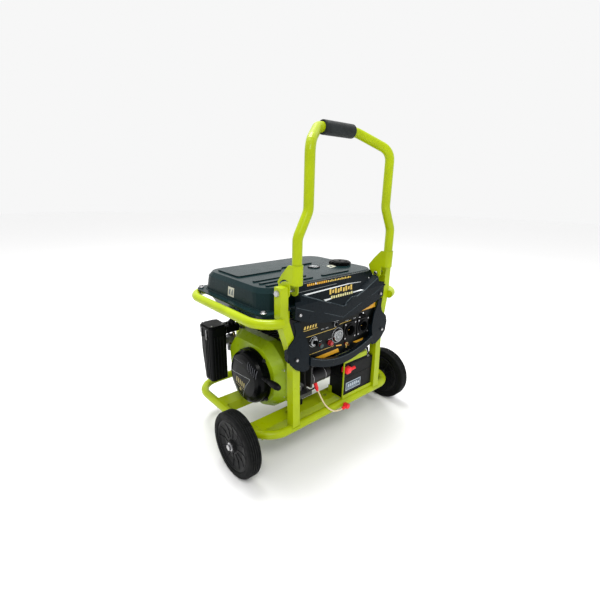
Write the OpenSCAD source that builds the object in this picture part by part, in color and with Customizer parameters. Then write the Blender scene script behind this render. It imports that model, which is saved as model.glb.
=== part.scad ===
// Portable generator on a wheeled tube frame with a fold-down pull handle.
// Millimetres. +X is to the right when facing the control panel, -Y is the
// panel side, +Z is up. The origin is on the ground under the frame's middle.

/* [Frame] */
// Outside diameter of the frame and handle tube
tube_d = 32; // [25:1:38]
// Half width of the frame loops, to the tube centre
loop_x = 357.5; // [340:0.5:380]
// Half depth of the base loop, to the tube centre
loop_y = 246; // [235:1:260]
// Bend radius of the loop corners, to the tube centre
loop_bend = 93; // [80:1:110]
// Height of the base loop's tube centre
base_z = 144; // [144:1:150]
// Height of the upper loop's tube centre
upper_z = 556; // [550:1:560]
// Depth of the upper loop's back tube behind the middle
upper_back_y = 269; // [260:1:275]
// Side of the square posts
post_w = 32; // [28:1:34]

/* [Wheels] */
// Radius of the tyres
wheel_r = 120; // [110:1:130]
// Width of the tyres
wheel_w = 48; // [40:1:52]
// Middle of each wheel, out from the frame's middle
wheel_x = 419; // [410:1:430]
// Wheel axle's place along the depth
axle_y = -165; // [-175:1:-155]
// Axle diameter
axle_d = 14; // [12:1:14]

/* [Handle] */
// Middle of each handle leg at its foot
leg_x = 234; // [230:1:234]
// Middle of each handle leg above the kink
leg_top_x = 192; // [180:1:200]
// Height of the grip's centre
grip_z = 1150; // [1100:1:1180]
// Length of the soft grip
grip_len = 142; // [120:1:160]
// Diameter of the soft grip
grip_d = 45; // [40:1:48]

/* [Fuel tank] */
// Height of the tank's top skin
tank_top = 649; // [640:1:655]
// Height of the underside of the tank's rim
tank_rim_z = 573; // [573:1:576]
// Diameter of the fuel cap
cap_d = 96; // [80:1:100]

/* [Power unit] */
// Crankshaft centre along the depth
crank_y = -50; // [-55:1:-45]
// Crankshaft centre height
crank_z = 290; // [285:1:295]
// Radius of the recoil starter's cover
recoil_r = 100; // [90:1:104]
// Radius of the alternator
alt_r = 108; // [100:1:109]
// Pull of the starter grip
pull = 150; // [120:5:150]

/* [Panel] */
// Half width of the control panel
panel_x = 205; // [200:1:206]
// Face of the control panel
panel_y = -238; // [-240:0.5:-236]
// Height of the panel's lower edge
panel_bottom = 368; // [364:1:372]

/* [Battery] */
// Battery width
batt_w = 178; // [160:1:178]
// Battery depth
batt_d = 76; // [60:1:76]
// Battery height
batt_h = 167; // [150:1:167]

/* [Hidden] */
$fn = 48;

lime = [0.66, 0.74, 0.02];
slate = [0.09, 0.11, 0.14];
black = [0.05, 0.05, 0.06];
steel = [0.7, 0.7, 0.72];
dark_green = [0.08, 0.16, 0.17];
red = [0.85, 0.1, 0.12];

tube_r = tube_d / 2;
run = 0.05; // radial running clearance of a shaft
gap = 0.5; // clearance between a moving and a fixed face

// posts: lower vertical stretch, slanted stretch, upper vertical stretch
post_foot_y = -244;
post_low = [227.5, -236];
post_high = [270, -222];
post_kink_low = 415;
post_kink_high = 565;
post_top = 670;
rear_post_x = 120;
rear_post_y = 257.5;
pivot_z = 651;
pivot_r = 5;

rail_h = 40;
rail_top = base_z + tube_r;
rail_front_y = [-207, -143];
rail_back_y = [13, 77];

batt_x = 30;
batt_front = -246;
batt_z = 164;

rope_z = crank_z + 32;
rope_x = -289;
recoil_front = -315;
recoil_back = -265;

// loose starter lead: centre points from the starter's boot to the free boot
lead_d = 6;
lead_path = [
    [-78, -206, 229], [-77, -209, 224], [-76, -213, 218], [-74, -218, 209], [-72, -224, 198],
    [-70, -231, 187], [-68, -239, 176], [-65, -248, 167], [-61, -257, 160], [-55, -264, 154],
    [-47, -269, 149], [-38, -272, 146], [-28, -274, 144], [-17, -275, 143], [-6, -276, 143],
    [2, -276, 144]
];

// ---------- helpers ----------
function unit(v) = v / norm(v);

// Points of one rounded corner b between neighbours a and c, each [x, y, radius]
function corner(a, b, c, n = 6) =
    let (
        p = [b[0], b[1]],
        u = unit([a[0], a[1]] - p),
        v = unit([c[0], c[1]] - p),
        half = acos(max(-1, min(1, u * v))) / 2,
        mid = p + unit(u + v) * b[2] / sin(half),
        start = p + u * b[2] / tan(half) - mid,
        sweep = (180 - 2 * half) * sign(u[1] * v[0] - u[0] * v[1])
    )
    b[2] <= 0 ? [p] : [
        for (i = [0 : n])
            let (t = sweep * i / n)
            mid + [start[0] * cos(t) - start[1] * sin(t), start[0] * sin(t) + start[1] * cos(t)]
    ];

// Outline with rounded corners from a list of [x, y, radius]
function rounded(pts, n = 6) = [
    for (i = [0 : len(pts) - 1])
        each corner(pts[(i + len(pts) - 1) % len(pts)], pts[i], pts[(i + 1) % len(pts)], n)
];

function rounded_box(x0, x1, y0, y1, r, n = 6) =
    rounded([[x0, y0, r], [x1, y0, r], [x1, y1, r], [x0, y1, r]], n);

module mirrored() {
    children();
    mirror([1, 0, 0]) children();
}

module box(x0, x1, y0, y1, z0, z1) {
    translate([x0, y0, z0]) cube([x1 - x0, y1 - y0, z1 - z0]);
}

// Plan outline raised from z0 to z1
module slab(pts, z0, z1) {
    translate([0, 0, z0]) linear_extrude(z1 - z0) polygon(pts);
}

// Side outline in [y, z], extruded from x0 to x1
module side_slab(pts, x0, x1) {
    translate([x0, 0, 0]) rotate([90, 0, 90]) linear_extrude(x1 - x0) polygon(pts);
}

// Front outline in [x, z], extruded from y0 to y1
module front_slab(pts, y0, y1) {
    translate([0, y1, 0]) rotate([90, 0, 0]) linear_extrude(y1 - y0) polygon(pts);
}

// Round bar along X
module rod_x(x0, x1, y, z, r) {
    translate([x0, y, z]) rotate([0, 90, 0]) cylinder(h = x1 - x0, r = r);
}

// Round bar along Y
module rod_y(x, y0, y1, z, r) {
    translate([x, y0, z]) rotate([-90, 0, 0]) cylinder(h = y1 - y0, r = r);
}

// Round bar from a to b
module rod(a, b, r) {
    d = b - a;
    translate(a) rotate([0, acos(d[2] / norm(d)), atan2(d[1], d[0])]) cylinder(h = norm(d), r = r);
}

// Turned shape about a shaft along X; the outline is [radius, x]
module turned_x(pts, y, z) {
    translate([0, y, z]) rotate([0, 90, 0]) rotate_extrude($fn = 72) polygon(pts);
}

// Turned shape about an axis along Y; the outline is [radius, y]
module turned_y(pts, x, z) {
    translate([x, 0, z]) rotate([-90, 0, 0]) rotate_extrude() polygon(pts);
}

// One bend of a tube between directions u and v at corner p
module tube_bend(p, u, v, bend, r) {
    turn = acos(u * v);
    w = unit(v - (u * v) * u);
    start = p - u * bend * tan(turn / 2);
    c = start + w * bend;
    n = cross(-w, u);
    multmatrix([
        [-w[0], u[0], n[0], c[0]], [-w[1], u[1], n[1], c[1]],
        [-w[2], u[2], n[2], c[2]], [0, 0, 0, 1]
    ])
        rotate_extrude(angle = turn) translate([bend, 0]) circle(r = r);
}

// Tube through the points with an equal bend at each corner
module bent_tube(pts, bend, r, closed = false) {
    n = len(pts);
    last = closed ? n - 1 : n - 2;
    cut = [
        for (i = [0 : n - 1])
            !closed && (i == 0 || i == n - 1) ? 0 :
            bend * tan(acos(unit(pts[i] - pts[(i + n - 1) % n]) * unit(pts[(i + 1) % n] - pts[i])) / 2)
    ];
    for (i = [0 : last]) {
        a = pts[i];
        b = pts[(i + 1) % n];
        u = unit(b - a);
        rod(a + u * cut[i], b - u * cut[(i + 1) % n], r);
        if (closed || i < last)
            tube_bend(b, u, unit(pts[(i + 2) % n] - b), bend, r);
    }
}

// Points of an open path with its corners rounded to the bend radius
function bent_path(pts, bend, n = 6) = [
    pts[0],
    for (i = [1 : len(pts) - 2])
        let (
            p = pts[i],
            u = unit(p - pts[i - 1]),
            v = unit(pts[i + 1] - p),
            turn = acos(u * v),
            w = unit(v - (u * v) * u),
            start = p - u * bend * tan(turn / 2)
        )
        for (k = [0 : n])
            let (t = turn * k / n) start + bend * (sin(t) * u + (1 - cos(t)) * w),
    pts[len(pts) - 1]
];

// Square beam whose end centres are a and b, lengthened by extra at both ends
module beam(a, b, w, extra = 0) {
    d = b - a;
    lean = atan2(d[0], d[2]);
    tilt = -asin(d[1] / norm(d));
    translate(a) rotate([0, lean, 0]) rotate([tilt, 0, 0])
        translate([-w / 2, -w / 2, -extra]) cube([w, w, norm(d) + 2 * extra]);
}

// Closed tube skin swept along points, one ring at each
module swept(path, r, sides) {
    n = len(path);
    dirs = [
        for (i = [0 : n - 1]) unit(path[min(i + 1, n - 1)] - path[max(i - 1, 0)])
    ];
    rings = [
        for (i = [0 : n - 1])
            let (a = unit(cross(dirs[i], [0, 1, 0.01])), b = cross(dirs[i], a))
            for (k = [0 : sides - 1])
                path[i] + r * (cos(360 * k / sides) * a + sin(360 * k / sides) * b)
    ];
    walls = [
        for (i = [0 : n - 2]) for (k = [0 : sides - 1])
            [
                i * sides + k, i * sides + (k + 1) % sides,
                (i + 1) * sides + (k + 1) % sides, (i + 1) * sides + k
            ]
    ];
    ends = [
        [for (k = [0 : sides - 1]) sides - 1 - k],
        [for (k = [0 : sides - 1]) (n - 1) * sides + k]
    ];
    polyhedron(points = rings, faces = concat(walls, ends));
}

// ---------- frame ----------
module base_loop() {
    color(lime) bent_tube([
        [-loop_x, -loop_y, base_z], [loop_x, -loop_y, base_z],
        [loop_x, loop_y, base_z], [-loop_x, loop_y, base_z]
    ], loop_bend, tube_r, closed = true);
}

module cross_rails() {
    color(lime) for (y = [rail_front_y, rail_back_y]) difference() {
        intersection() {
            box(-loop_x, loop_x, y[0], y[1], rail_top - rail_h, rail_top);
            slab(rounded_box(-loop_x, loop_x, -loop_y, loop_y, loop_bend, 10), rail_top - rail_h, rail_top);
        }
        box(-loop_x - 1, loop_x + 1, y[0] + 3, y[1] - 3, rail_top - rail_h - 1, rail_top - 3);
        base_loop();
        for (x = [-200, 0, 200]) translate([x, (y[0] + y[1]) / 2, rail_top - 9]) cylinder(h = 20, r = 9);
    }
}

module upper_loop() {
    c = loop_x - loop_bend;
    front = -loop_y + loop_bend;
    back = upper_back_y - loop_bend;
    color(lime) {
        rod([-c, upper_back_y, upper_z], [c, upper_back_y, upper_z], tube_r);
        mirrored() {
            rod([loop_x, front, upper_z], [loop_x, back, upper_z], tube_r);
            translate([c, back, upper_z]) rotate_extrude(angle = 90)
                translate([loop_bend, 0]) circle(r = tube_r);
            translate([c, front, upper_z]) mirror([0, 1, 0]) rotate_extrude(angle = 80)
                translate([loop_bend, 0]) circle(r = tube_r);
        }
    }
}

module frame_posts() {
    low = [post_low[0], post_foot_y, base_z];
    kink_a = [post_low[0], post_low[1], post_kink_low];
    kink_b = [post_high[0], post_high[1], post_kink_high];
    color(lime) mirrored() {
        difference() {
            union() {
                beam(low, kink_a, post_w);
                beam(kink_a, kink_b, post_w, 2);
                beam(kink_b, [kink_b[0], kink_b[1], post_top], post_w);
                // doubler plate inside the upper stretch
                box(post_high[0] - post_w / 2 - 14, post_high[0] - post_w / 2, -228, -206, 540, 588);
            }
            rod([100, -loop_y, base_z], [400, -loop_y, base_z], tube_r);
            rod_x(post_high[0] - 40, post_high[0] + 40, post_high[1], pivot_z, pivot_r + run);
        }
        difference() {
            box(
                rear_post_x - post_w / 2, rear_post_x + post_w / 2, rear_post_y - post_w / 2,
                rear_post_y + post_w / 2, base_z + 3, upper_z - 3
            );
            rod_x(60, 200, loop_y, base_z, tube_r);
            rod_x(60, 200, upper_back_y, upper_z, tube_r);
        }
    }
}

module axle_brackets() {
    color(lime) mirrored() difference() {
        side_slab(rounded([
            [axle_y - 18, rail_top - 3, 0], [axle_y - 18, 102, 14], [axle_y + 18, 102, 14],
            [axle_y + 18, rail_top - 3, 0]
        ]), 318, 324);
        rod_x(310, 330, axle_y, wheel_r, axle_d / 2 + run);
    }
}

module wheel_axle() {
    face = wheel_x + wheel_w / 2 + 1 + gap;
    color(steel) {
        rod_x(-wheel_x - 36, wheel_x + 36, axle_y, wheel_r, axle_d / 2);
        mirrored() {
            rod_x(wheel_x - wheel_w / 2 - 8, wheel_x - wheel_w / 2 - 2, axle_y, wheel_r, 12);
            // washer and nut outside the wheel
            rod_x(face, face + 2.5, axle_y, wheel_r, 15);
            translate([face + 2.5, axle_y, wheel_r]) rotate([0, 90, 0]) cylinder(h = 8, r = 11, $fn = 6);
        }
    }
}

module hub(x) {
    w = wheel_w / 2;
    half = [
        [axle_d / 2 + run, w + 1], [20, w + 1], [25, w - 7], [56, w - 10], [76, w - 6], [86, w - 1],
        [92, w - 3]
    ];
    color(black) turned_x(concat(
        [for (p = half) [p[0], x - p[1]]],
        [for (i = [len(half) - 1 : -1 : 0]) [half[i][0], x + half[i][1]]]
    ), axle_y, wheel_r);
}

module tyre(x) {
    w = wheel_w / 2;
    groove = 3;
    color(black) turned_x(concat(
        [[92, x - w + 3], [97, x - w], [108, x - w - 0], [wheel_r - 4, x - w + 2], [wheel_r, x - w + 8]],
        [
            for (i = [0 : 3])
                let (g = x - w + 10 + i * 8)
                each [
                    [wheel_r, g], [wheel_r - groove, g + 0.6], [wheel_r - groove, g + 2.8],
                    [wheel_r, g + 3.4]
                ]
        ],
        [[wheel_r, x + w - 8], [wheel_r - 4, x + w - 2], [108, x + w], [97, x + w], [92, x + w - 3]]
    ), axle_y, wheel_r);
}

module hub_left() { hub(-wheel_x); }
module hub_right() { hub(wheel_x); }
module tyre_left() { tyre(-wheel_x); }
module tyre_right() { tyre(wheel_x); }

module support_leg() {
    y = loop_y;
    color(lime) difference() {
        bent_tube([[-150, y, base_z], [-150, y, 34], [150, y, 34], [150, y, base_z]], 30, 12);
        rod([-300, y, base_z], [300, y, base_z], tube_r);
    }
}

module rubber_feet() {
    color(black) for (x = [-110, 110]) difference() {
        translate([x, loop_y, 0]) {
            cylinder(h = 14, r = 22);
            translate([0, 0, 14]) cylinder(h = 22, r = 17);
        }
        rod([-300, loop_y, 34], [300, loop_y, 34], 12);
        box(-300, 300, loop_y - 30, loop_y + 30, 34, 60);
    }
}

// ---------- pull handle ----------
handle_y = -254;
grip_y = -177;
handle_path = [
    [-leg_x, handle_y, 676], [-leg_x, handle_y, 822], [-leg_top_x, handle_y, 902],
    [-leg_top_x, handle_y, grip_z - 58], [-grip_len / 2 - 20, grip_y, grip_z],
    [grip_len / 2 + 20, grip_y, grip_z], [leg_top_x, handle_y, grip_z - 58],
    [leg_top_x, handle_y, 902], [leg_x, handle_y, 822], [leg_x, handle_y, 676]
];

module handle_tube() {
    color(lime) swept(bent_path(handle_path, 50), tube_r, 28);
}

module handle_grip() {
    h = grip_len / 2;
    r = grip_d / 2;
    color(black) turned_x([
        [tube_r + run, -h], [r - 4, -h], [r, -h + 4], [r, h - 4], [r - 4, h], [tube_r + run, h]
    ], grip_y, grip_z);
}

bracket_wall = 3.5;
bracket_r = tube_r + bracket_wall;
cheek = [
    [-276, 678, 0], [-276, 740, 0], [-236, 740, 8], [-206, 709, 14], [-181, 678, 8],
    [-190, 656, 10], [-204, 640, 8], [-222, 640, 4], [-242, 646, 6], [-242, 678, 2]
];

module handle_brackets() {
    bolt_y = post_high[1];
    color(lime) mirrored() difference() {
        intersection() {
            union() {
                rod([leg_x, handle_y, 620], [leg_x, handle_y, 750], bracket_r);
                box(leg_x - bracket_r, leg_x + bracket_r, handle_y, -170, 620, 750);
            }
            union() {
                side_slab(rounded(cheek), leg_x - bracket_r, leg_x + bracket_r);
                rod_x(leg_x - bracket_r, leg_x + bracket_r, bolt_y, pivot_z, 20);
            }
        }
        // channel between the two cheeks, round the foot of the leg
        rod([leg_x, handle_y, 610], [leg_x, handle_y, 760], tube_r);
        box(leg_x - tube_r, leg_x + tube_r, handle_y, -160, 610, 760);
        rod_x(leg_x - 30, leg_x + 30, bolt_y, pivot_z, pivot_r + run);
        // arc slot of the lock bolt in the outer cheek
        translate([leg_x + tube_r - 2, bolt_y, pivot_z]) rotate([0, 90, 0]) rotate([0, 0, 125])
            rotate_extrude(angle = 76) translate([34, 0]) square([6, 10]);
    }
}

module hinge_bolts() {
    y = post_high[1];
    inner = leg_x - bracket_r - gap;
    outer = post_high[0] + post_w / 2;
    color(steel) mirrored() {
        rod_x(inner - 6, outer + 0.5, y, pivot_z, pivot_r);
        rod_x(outer + 0.2, outer + 2.2, y, pivot_z, 10);
        translate([outer + 2.2, y, pivot_z]) rotate([0, 90, 0]) cylinder(h = 5, r = 9, $fn = 6);
        translate([inner - 6, y, pivot_z]) rotate([0, 90, 0]) cylinder(h = 6, r = 8, $fn = 6);
    }
}

module handle_latches() {
    x = post_high[0] - post_w / 2;
    color(black) mirrored() {
        box(x - 6.5, x, -236, -216, 590, 610);
        rod_y(x - 3.5, -243, -236, 600, 3.2);
    }
}

// ---------- fuel tank ----------
module tank_skin(s) {
    hull() {
        slab(rounded_box(-306 + s, 306 - s, -176 + s, 246 - s, 58 - s), tank_rim_z + s, tank_rim_z + s + 1);
        slab(rounded_box(-300 + s, 300 - s, -168 + s, 242 - s, 64 - s), tank_top - 17 - s, tank_top - 16 - s);
        slab(rounded_box(-287 + s, 287 - s, -155 + s, 230 - s, 58 - s), tank_top - 1 - s, tank_top - s);
    }
}

module tank_base(s, top) {
    hull() {
        slab(rounded_box(-306 + s, 306 - s, -176 + s, 246 - s, 58 - s), top - 1, top);
        slab(rounded_box(-280 + s, 280 - s, -150 + s, 220 - s, 50 - s), 522 + s, 523 + s);
    }
}

cap_x = 232;
cap_y = -10;
gauge_x = 95;
gauge_y = 12;

module fuel_tank() {
    color(dark_green) difference() {
        union() {
            tank_skin(0);
            slab(rounded_box(-335, 335, -204, 265, 50), tank_rim_z, tank_rim_z + 5);
            // stiffening steps pressed into the top
            slab(rounded([
                [-262, 40, 12], [-60, 40, 12], [-30, 72, 12], [140, 72, 12], [170, 110, 12],
                [170, 200, 20], [-262, 200, 20]
            ]), tank_top - 2, tank_top + 5);
            for (y = [-122, -84, -46])
                slab(rounded_box(-256, -40, y - 8, y + 8, 7), tank_top - 2, tank_top + 4);
            slab(rounded_box(10, 160, -130, -112, 8), tank_top - 2, tank_top + 4);
            translate([cap_x, cap_y, tank_top - 2]) cylinder(h = 3, r = 34);
        }
        tank_skin(3);
        slab(rounded_box(-300, 300, -170, 240, 52), tank_rim_z - 1, tank_rim_z + 6);
        translate([cap_x, cap_y, tank_top - 20]) cylinder(h = 40, r = 28);
        translate([gauge_x, gauge_y, tank_top - 20]) cylinder(h = 40, r = 16);
    }
}

module tank_pan() {
    color(dark_green) difference() {
        tank_base(0, tank_rim_z);
        tank_base(3, tank_rim_z + 1);
    }
}

module fuel_cap() {
    z = tank_top + 1 + gap;
    r = cap_d / 2;
    color(black) translate([cap_x, cap_y, 0]) difference() {
        union() {
            translate([0, 0, z]) cylinder(h = 10, r = r);
            translate([0, 0, z + 10]) cylinder(h = 3, r = r - 5);
            translate([0, 0, z + 13]) cylinder(h = 2, r = r - 18);
            translate([0, 0, z - 12]) cylinder(h = 13, r = 26);
        }
        for (i = [0 : 11]) rotate([0, 0, 30 * i]) translate([r + 5, 0, z - 1]) cylinder(h = 16, r = 9);
        translate([0, 0, z - 13]) cylinder(h = 18, r = 22);
    }
}

module fuel_gauge() {
    color(black) translate([gauge_x, gauge_y, 0]) {
        translate([0, 0, tank_top]) difference() {
            cylinder(h = 4, r = 26);
            translate([0, 0, 1.5]) cylinder(h = 4, r = 21);
        }
        translate([0, 0, tank_top - 12]) cylinder(h = 13, r = 15.5);
    }
}

module screw_head(x, face, z) {
    turned_y([[0, face - 4], [5, face - 4], [8, face - 1.5], [8, face], [0, face]], x, z);
}

module cover_bolts() {
    color(steel) {
        // rim bolts of the tank
        mirrored() for (y = [-181, 242]) translate([311, y, tank_rim_z + 5]) {
            cylinder(h = 2, r = 9);
            translate([0, 0, 2]) cylinder(h = 6, r = 7, $fn = 6);
        }
        // screws of the guards and the cover
        mirrored() {
            screw_head(214, -250, 572);
            screw_head(232, -258.8, 418);
        }
    }
}

// ---------- panel and guards ----------
function chevron_low(x) = 511 + 0.00089 * x * x;

module panel_cover() {
    hood = [
        [-242, 507], [-242, 557], [-199, 654], [-194, 654], [-194, 660], [-203, 662], [-246, 558],
        [-246, 507]
    ];
    bumper = [
        [-242, 507], [-242, 557], [-203, 645], [-206, 655], [-235, 652], [-250, 604], [-250, 507]
    ];
    n = 16;
    xs = [for (i = [0 : n]) -234 + 468 * i / n];
    chevron = concat(
        [for (x = xs) [x, chevron_low(x)]],
        rounded([
            [234, 590, 0], [229, 642, 12], [214, 645, 6], [24, 568, 16], [0, 563, 10],
            [-24, 568, 16], [-214, 645, 6], [-229, 642, 12], [-234, 590, 0]
        ])
    );
    color(slate) {
        intersection() {
            side_slab(hood, -205, 205);
            front_slab(rounded([
                [-205, 545, 0], [-30, 530, 0], [30, 530, 0], [205, 545, 0], [205, 662, 10],
                [-205, 662, 10]
            ]), -280, -180);
        }
        difference() {
            intersection() {
                side_slab(bumper, -240, 240);
                front_slab(chevron, -280, -180);
            }
            // room for the handle's hinges behind the ears
            mirrored() box(207, 250, -246, -180, 596, 700);
        }
    }
}

// fittings of the panel: [x, z] of each
key_at = [-136, 452];
meter_at = [-12, 446];
button_at = [-24, 493];
positive_at = [-53, 427];
negative_at = [-105, 432];
earth_at = [38, 399];
breaker_at = [123, 497];
outlet_x = [55, 132];
outlet_z = 451;

module control_panel() {
    color(slate) {
        difference() {
            box(-panel_x, panel_x, panel_y, -190, panel_bottom, 540);
            box(-panel_x + 2.5, panel_x - 2.5, panel_y + 3, -180, panel_bottom + 2.5, 537.5);
            rod_y(key_at[0], -300, -210, key_at[1], 11.2);
            rod_y(meter_at[0], -300, -210, meter_at[1], 20.2);
            rod_y(button_at[0], -300, -210, button_at[1], 5.2);
            for (x = outlet_x) rod_y(x, -300, -210, outlet_z, 24.2);
            box(breaker_at[0] - 16, breaker_at[0] + 16, -300, -210, breaker_at[1] - 9, breaker_at[1] + 9);
        }
        // breaker body behind its opening
        box(
            breaker_at[0] - 18, breaker_at[0] + 18, panel_y + 9, panel_y + 28, breaker_at[1] - 11,
            breaker_at[1] + 11
        );
    }
}

module bow_bar() {
    n = 14;
    half = 171;
    function middle(x) = 353 + 0.00146 * x * x;
    xs = [for (i = [0 : n]) -half + 2 * half * i / n];
    color(slate) front_slab(concat(
        [for (x = xs) [x, middle(x) - 16]], [for (i = [n : -1 : 0]) [xs[i], middle(xs[i]) + 16]]
    ), -264, -251);
}

module corner_guards() {
    face = rounded([
        [173, 366, 6], [172, 446, 20], [185, 490, 20], [205, 522, 20], [213, 547, 0], [237, 547, 0],
        [229, 518, 24], [236, 492, 20], [262, 472, 12], [269, 446, 20], [258, 406, 20],
        [236, 382, 20], [200, 364, 12]
    ]);
    // front plate that leans back with the post behind it
    plate = [
        [-261, 350], [-258.6, 415], [-246.5, 547], [-241.5, 547], [-253.4, 415], [-255.8, 350]
    ];
    color(slate) mirrored() {
        intersection() {
            front_slab(face, -280, -200);
            side_slab(plate, 150, 280);
        }
        // returns beside the panel and outside the post
        front_slab([[172.6, 380], [175.6, 380], [175.6, 446], [172.6, 446]], -254.5, -240);
        side_slab(rounded([
            [-254.5, 414, 0], [-236, 420, 8], [-233, 456, 8], [-251, 466, 0]
        ]), 261, 265);
    }
}

module outlet_sockets() {
    color(black) for (x = outlet_x) difference() {
        union() {
            front_slab(rounded_box(x - 35, x + 35, outlet_z - 35, outlet_z + 35, 7), panel_y - 4, panel_y);
            rod_y(x, panel_y - 7, panel_y, outlet_z, 27);
            rod_y(x, panel_y, panel_y + 24, outlet_z, 24);
        }
        rod_y(x, panel_y - 8, panel_y + 11, outlet_z, 20);
        for (a = [90, 210, 330])
            rod_y(x + 9 * cos(a), panel_y, panel_y + 22, outlet_z + 9 * sin(a), 2.6);
    }
}

lever_y = panel_y - 2;

module breaker_lever() {
    color(black) translate([breaker_at[0], lever_y, breaker_at[1]]) {
        translate([0, 0, -7]) cylinder(h = 14, r = 2.6);
        rotate([0, 0, -20]) translate([-13, -4, -5.5]) cube([26, 7, 11]);
    }
}

module ignition_switch() {
    color(steel) difference() {
        turned_y([
            [0, panel_y - 6], [12, panel_y - 6], [15, panel_y - 4], [15, panel_y],
            [11, panel_y], [11, panel_y + 34], [0, panel_y + 34]
        ], key_at[0], key_at[1]);
        rod_y(key_at[0], panel_y - 10, panel_y + 20, key_at[1], 8 + run);
    }
}

module ignition_key() {
    x = key_at[0];
    z = key_at[1];
    color(black) {
        rod_y(x, panel_y - 6, panel_y + 19, z, 8);
        box(x - 1.2, x + 1.2, panel_y - 14, panel_y - 5, z - 4, z + 4);
        front_slab(rounded_box(x - 3.5, x + 3.5, z - 10, z + 10, 3), panel_y - 24, panel_y - 13);
    }
}

module voltmeter() {
    x = meter_at[0];
    z = meter_at[1];
    color(steel) {
        difference() {
            turned_y([
                [0, panel_y - 6], [19, panel_y - 8], [22, panel_y - 8], [24, panel_y - 4],
                [24, panel_y], [0, panel_y]
            ], x, z);
            rod_y(x, panel_y - 20, panel_y - 3, z, 18.5);
        }
        rod_y(x, panel_y, panel_y + 30, z, 20);
    }
}

module panel_terminals() {
    color(red) for (p = [positive_at, negative_at]) {
        rod_y(p[0], panel_y - 4, panel_y, p[1], 10);
        rod_y(p[0], panel_y - 12, panel_y - 4, p[1], 8);
    }
    color(steel) {
        rod_y(earth_at[0], panel_y - 16, panel_y, earth_at[1], 3);
        translate([earth_at[0], panel_y, earth_at[1]]) rotate([90, 0, 0]) cylinder(h = 4, r = 6.5, $fn = 6);
    }
}

module reset_button() {
    color(black) {
        rod_y(button_at[0], panel_y - 9, panel_y + 20, button_at[1], 5.15);
        rod_y(button_at[0], panel_y - 11, panel_y - 5, button_at[1], 8);
    }
}

// ---------- battery ----------
batt_top = batt_z + batt_h;

module battery_tray() {
    back = batt_front + batt_d;
    color(lime) {
        box(batt_x - 4, batt_x + batt_w + 2, batt_front - 3, back + 1, rail_top + 0.5, batt_z - 0.3);
        box(batt_x - 4, batt_x + batt_w + 2, batt_front - 3, batt_front - 0.5, batt_z - 1, batt_z + 12);
        box(batt_x - 4, batt_x - 0.5, batt_front - 3, batt_front + 2, batt_z - 1, batt_top + 5);
        box(batt_x - 4, batt_x - 0.5, back - 16, back + 1, batt_z - 1, batt_z + 30);
    }
}

module battery() {
    back = batt_front + batt_d;
    color(black) difference() {
        union() {
            slab(rounded_box(batt_x, batt_x + batt_w, batt_front, back, 4), batt_z, batt_top - 22);
            slab(
                rounded_box(batt_x + 2, batt_x + batt_w - 2, batt_front + 2, back - 2, 4),
                batt_top - 22, batt_top
            );
        }
        // notches for the terminals at the front corners
        box(batt_x - 1, batt_x + 36, batt_front - 1, batt_front + 22, 268, 305);
        box(batt_x + batt_w - 36, batt_x + batt_w + 1, batt_front - 1, batt_front + 24, 300, batt_top + 1);
    }
}

module battery_strap() {
    color(lime) {
        box(batt_x - 4, 160, batt_front - 4, -204, batt_top + 5.3, batt_top + 9);
        box(batt_x, 160, batt_front - 4, batt_front - 1, batt_top - 12, batt_top + 6);
        rod([150, -212, batt_top + 0.5], [150, -212, batt_top + 16], 4);
    }
}

module battery_boot() {
    color(red) {
        front_slab(rounded_box(batt_x + 4, batt_x + 32, 272, 299, 6), batt_front - 10, batt_front + 16);
        rod([batt_x + 28, batt_front - 6.5, 285], [batt_x + 50, batt_front - 12, 292], 6);
    }
}

module battery_cable() {
    color(steel) swept(bent_path([
        [166, -222, panel_bottom - 0.5], [166, -222, 356], [182, -236, 344], [188, -232, 303]
    ], 12, 3), 3.5, 10);
    color(black) swept(bent_path([
        [-150, -212, panel_bottom - 0.5], [-150, -208, 262], [-130, -206, 232], [-89, -204, 236]
    ], 12, 3), 3, 10);
}

// ---------- loose starter lead ----------
module loose_lead() {
    color([0.88, 0.8, 0.6]) swept(lead_path, lead_d / 2, 8);
}

module lead_boot_root() {
    color(red) rod([-79, -196.7, 250.9], lead_path[0], 7.5);
}

module lead_boot_end() {
    last = lead_path[len(lead_path) - 1];
    color(red) {
        rod(last, [14, -276, 146], 7);
        front_slab(rounded_box(13, 31, 138, 157, 5), -286, -266);
    }
}

// ---------- engine ----------
dip_x = -160;
dip_z = 225;

module crankcase() {
    outline = [
        [-142, 200, 18], [-142, 330, 30], [-100, 372, 30], [20, 372, 24], [62, 300, 24], [62, 200, 18]
    ];
    cavity = [
        [-132, 208, 10], [-132, 326, 24], [-96, 364, 24], [16, 364, 18], [54, 296, 18], [54, 208, 10]
    ];
    color([0.75, 0.76, 0.77]) difference() {
        union() {
            side_slab(rounded(outline), -188, -64);
            box(-180, -70, -172, 66, 186, 202);
        }
        side_slab(rounded(cavity), -180, -72);
        rod_x(-200, -50, crank_y, crank_z, 15 + run);
        rod_y(dip_x, -172, -110, dip_z, 8.3);
    }
}

module starter_motor() {
    color([0.2, 0.2, 0.21]) {
        rod_x(-112, -12, -186, 276, 27);
        rod_x(-16, -2, -186, 276, 20);
        rod_x(-113, -24, -176, 322, 16);
        box(-120, -112, -215, -142, 250, 336);
    }
}

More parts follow.
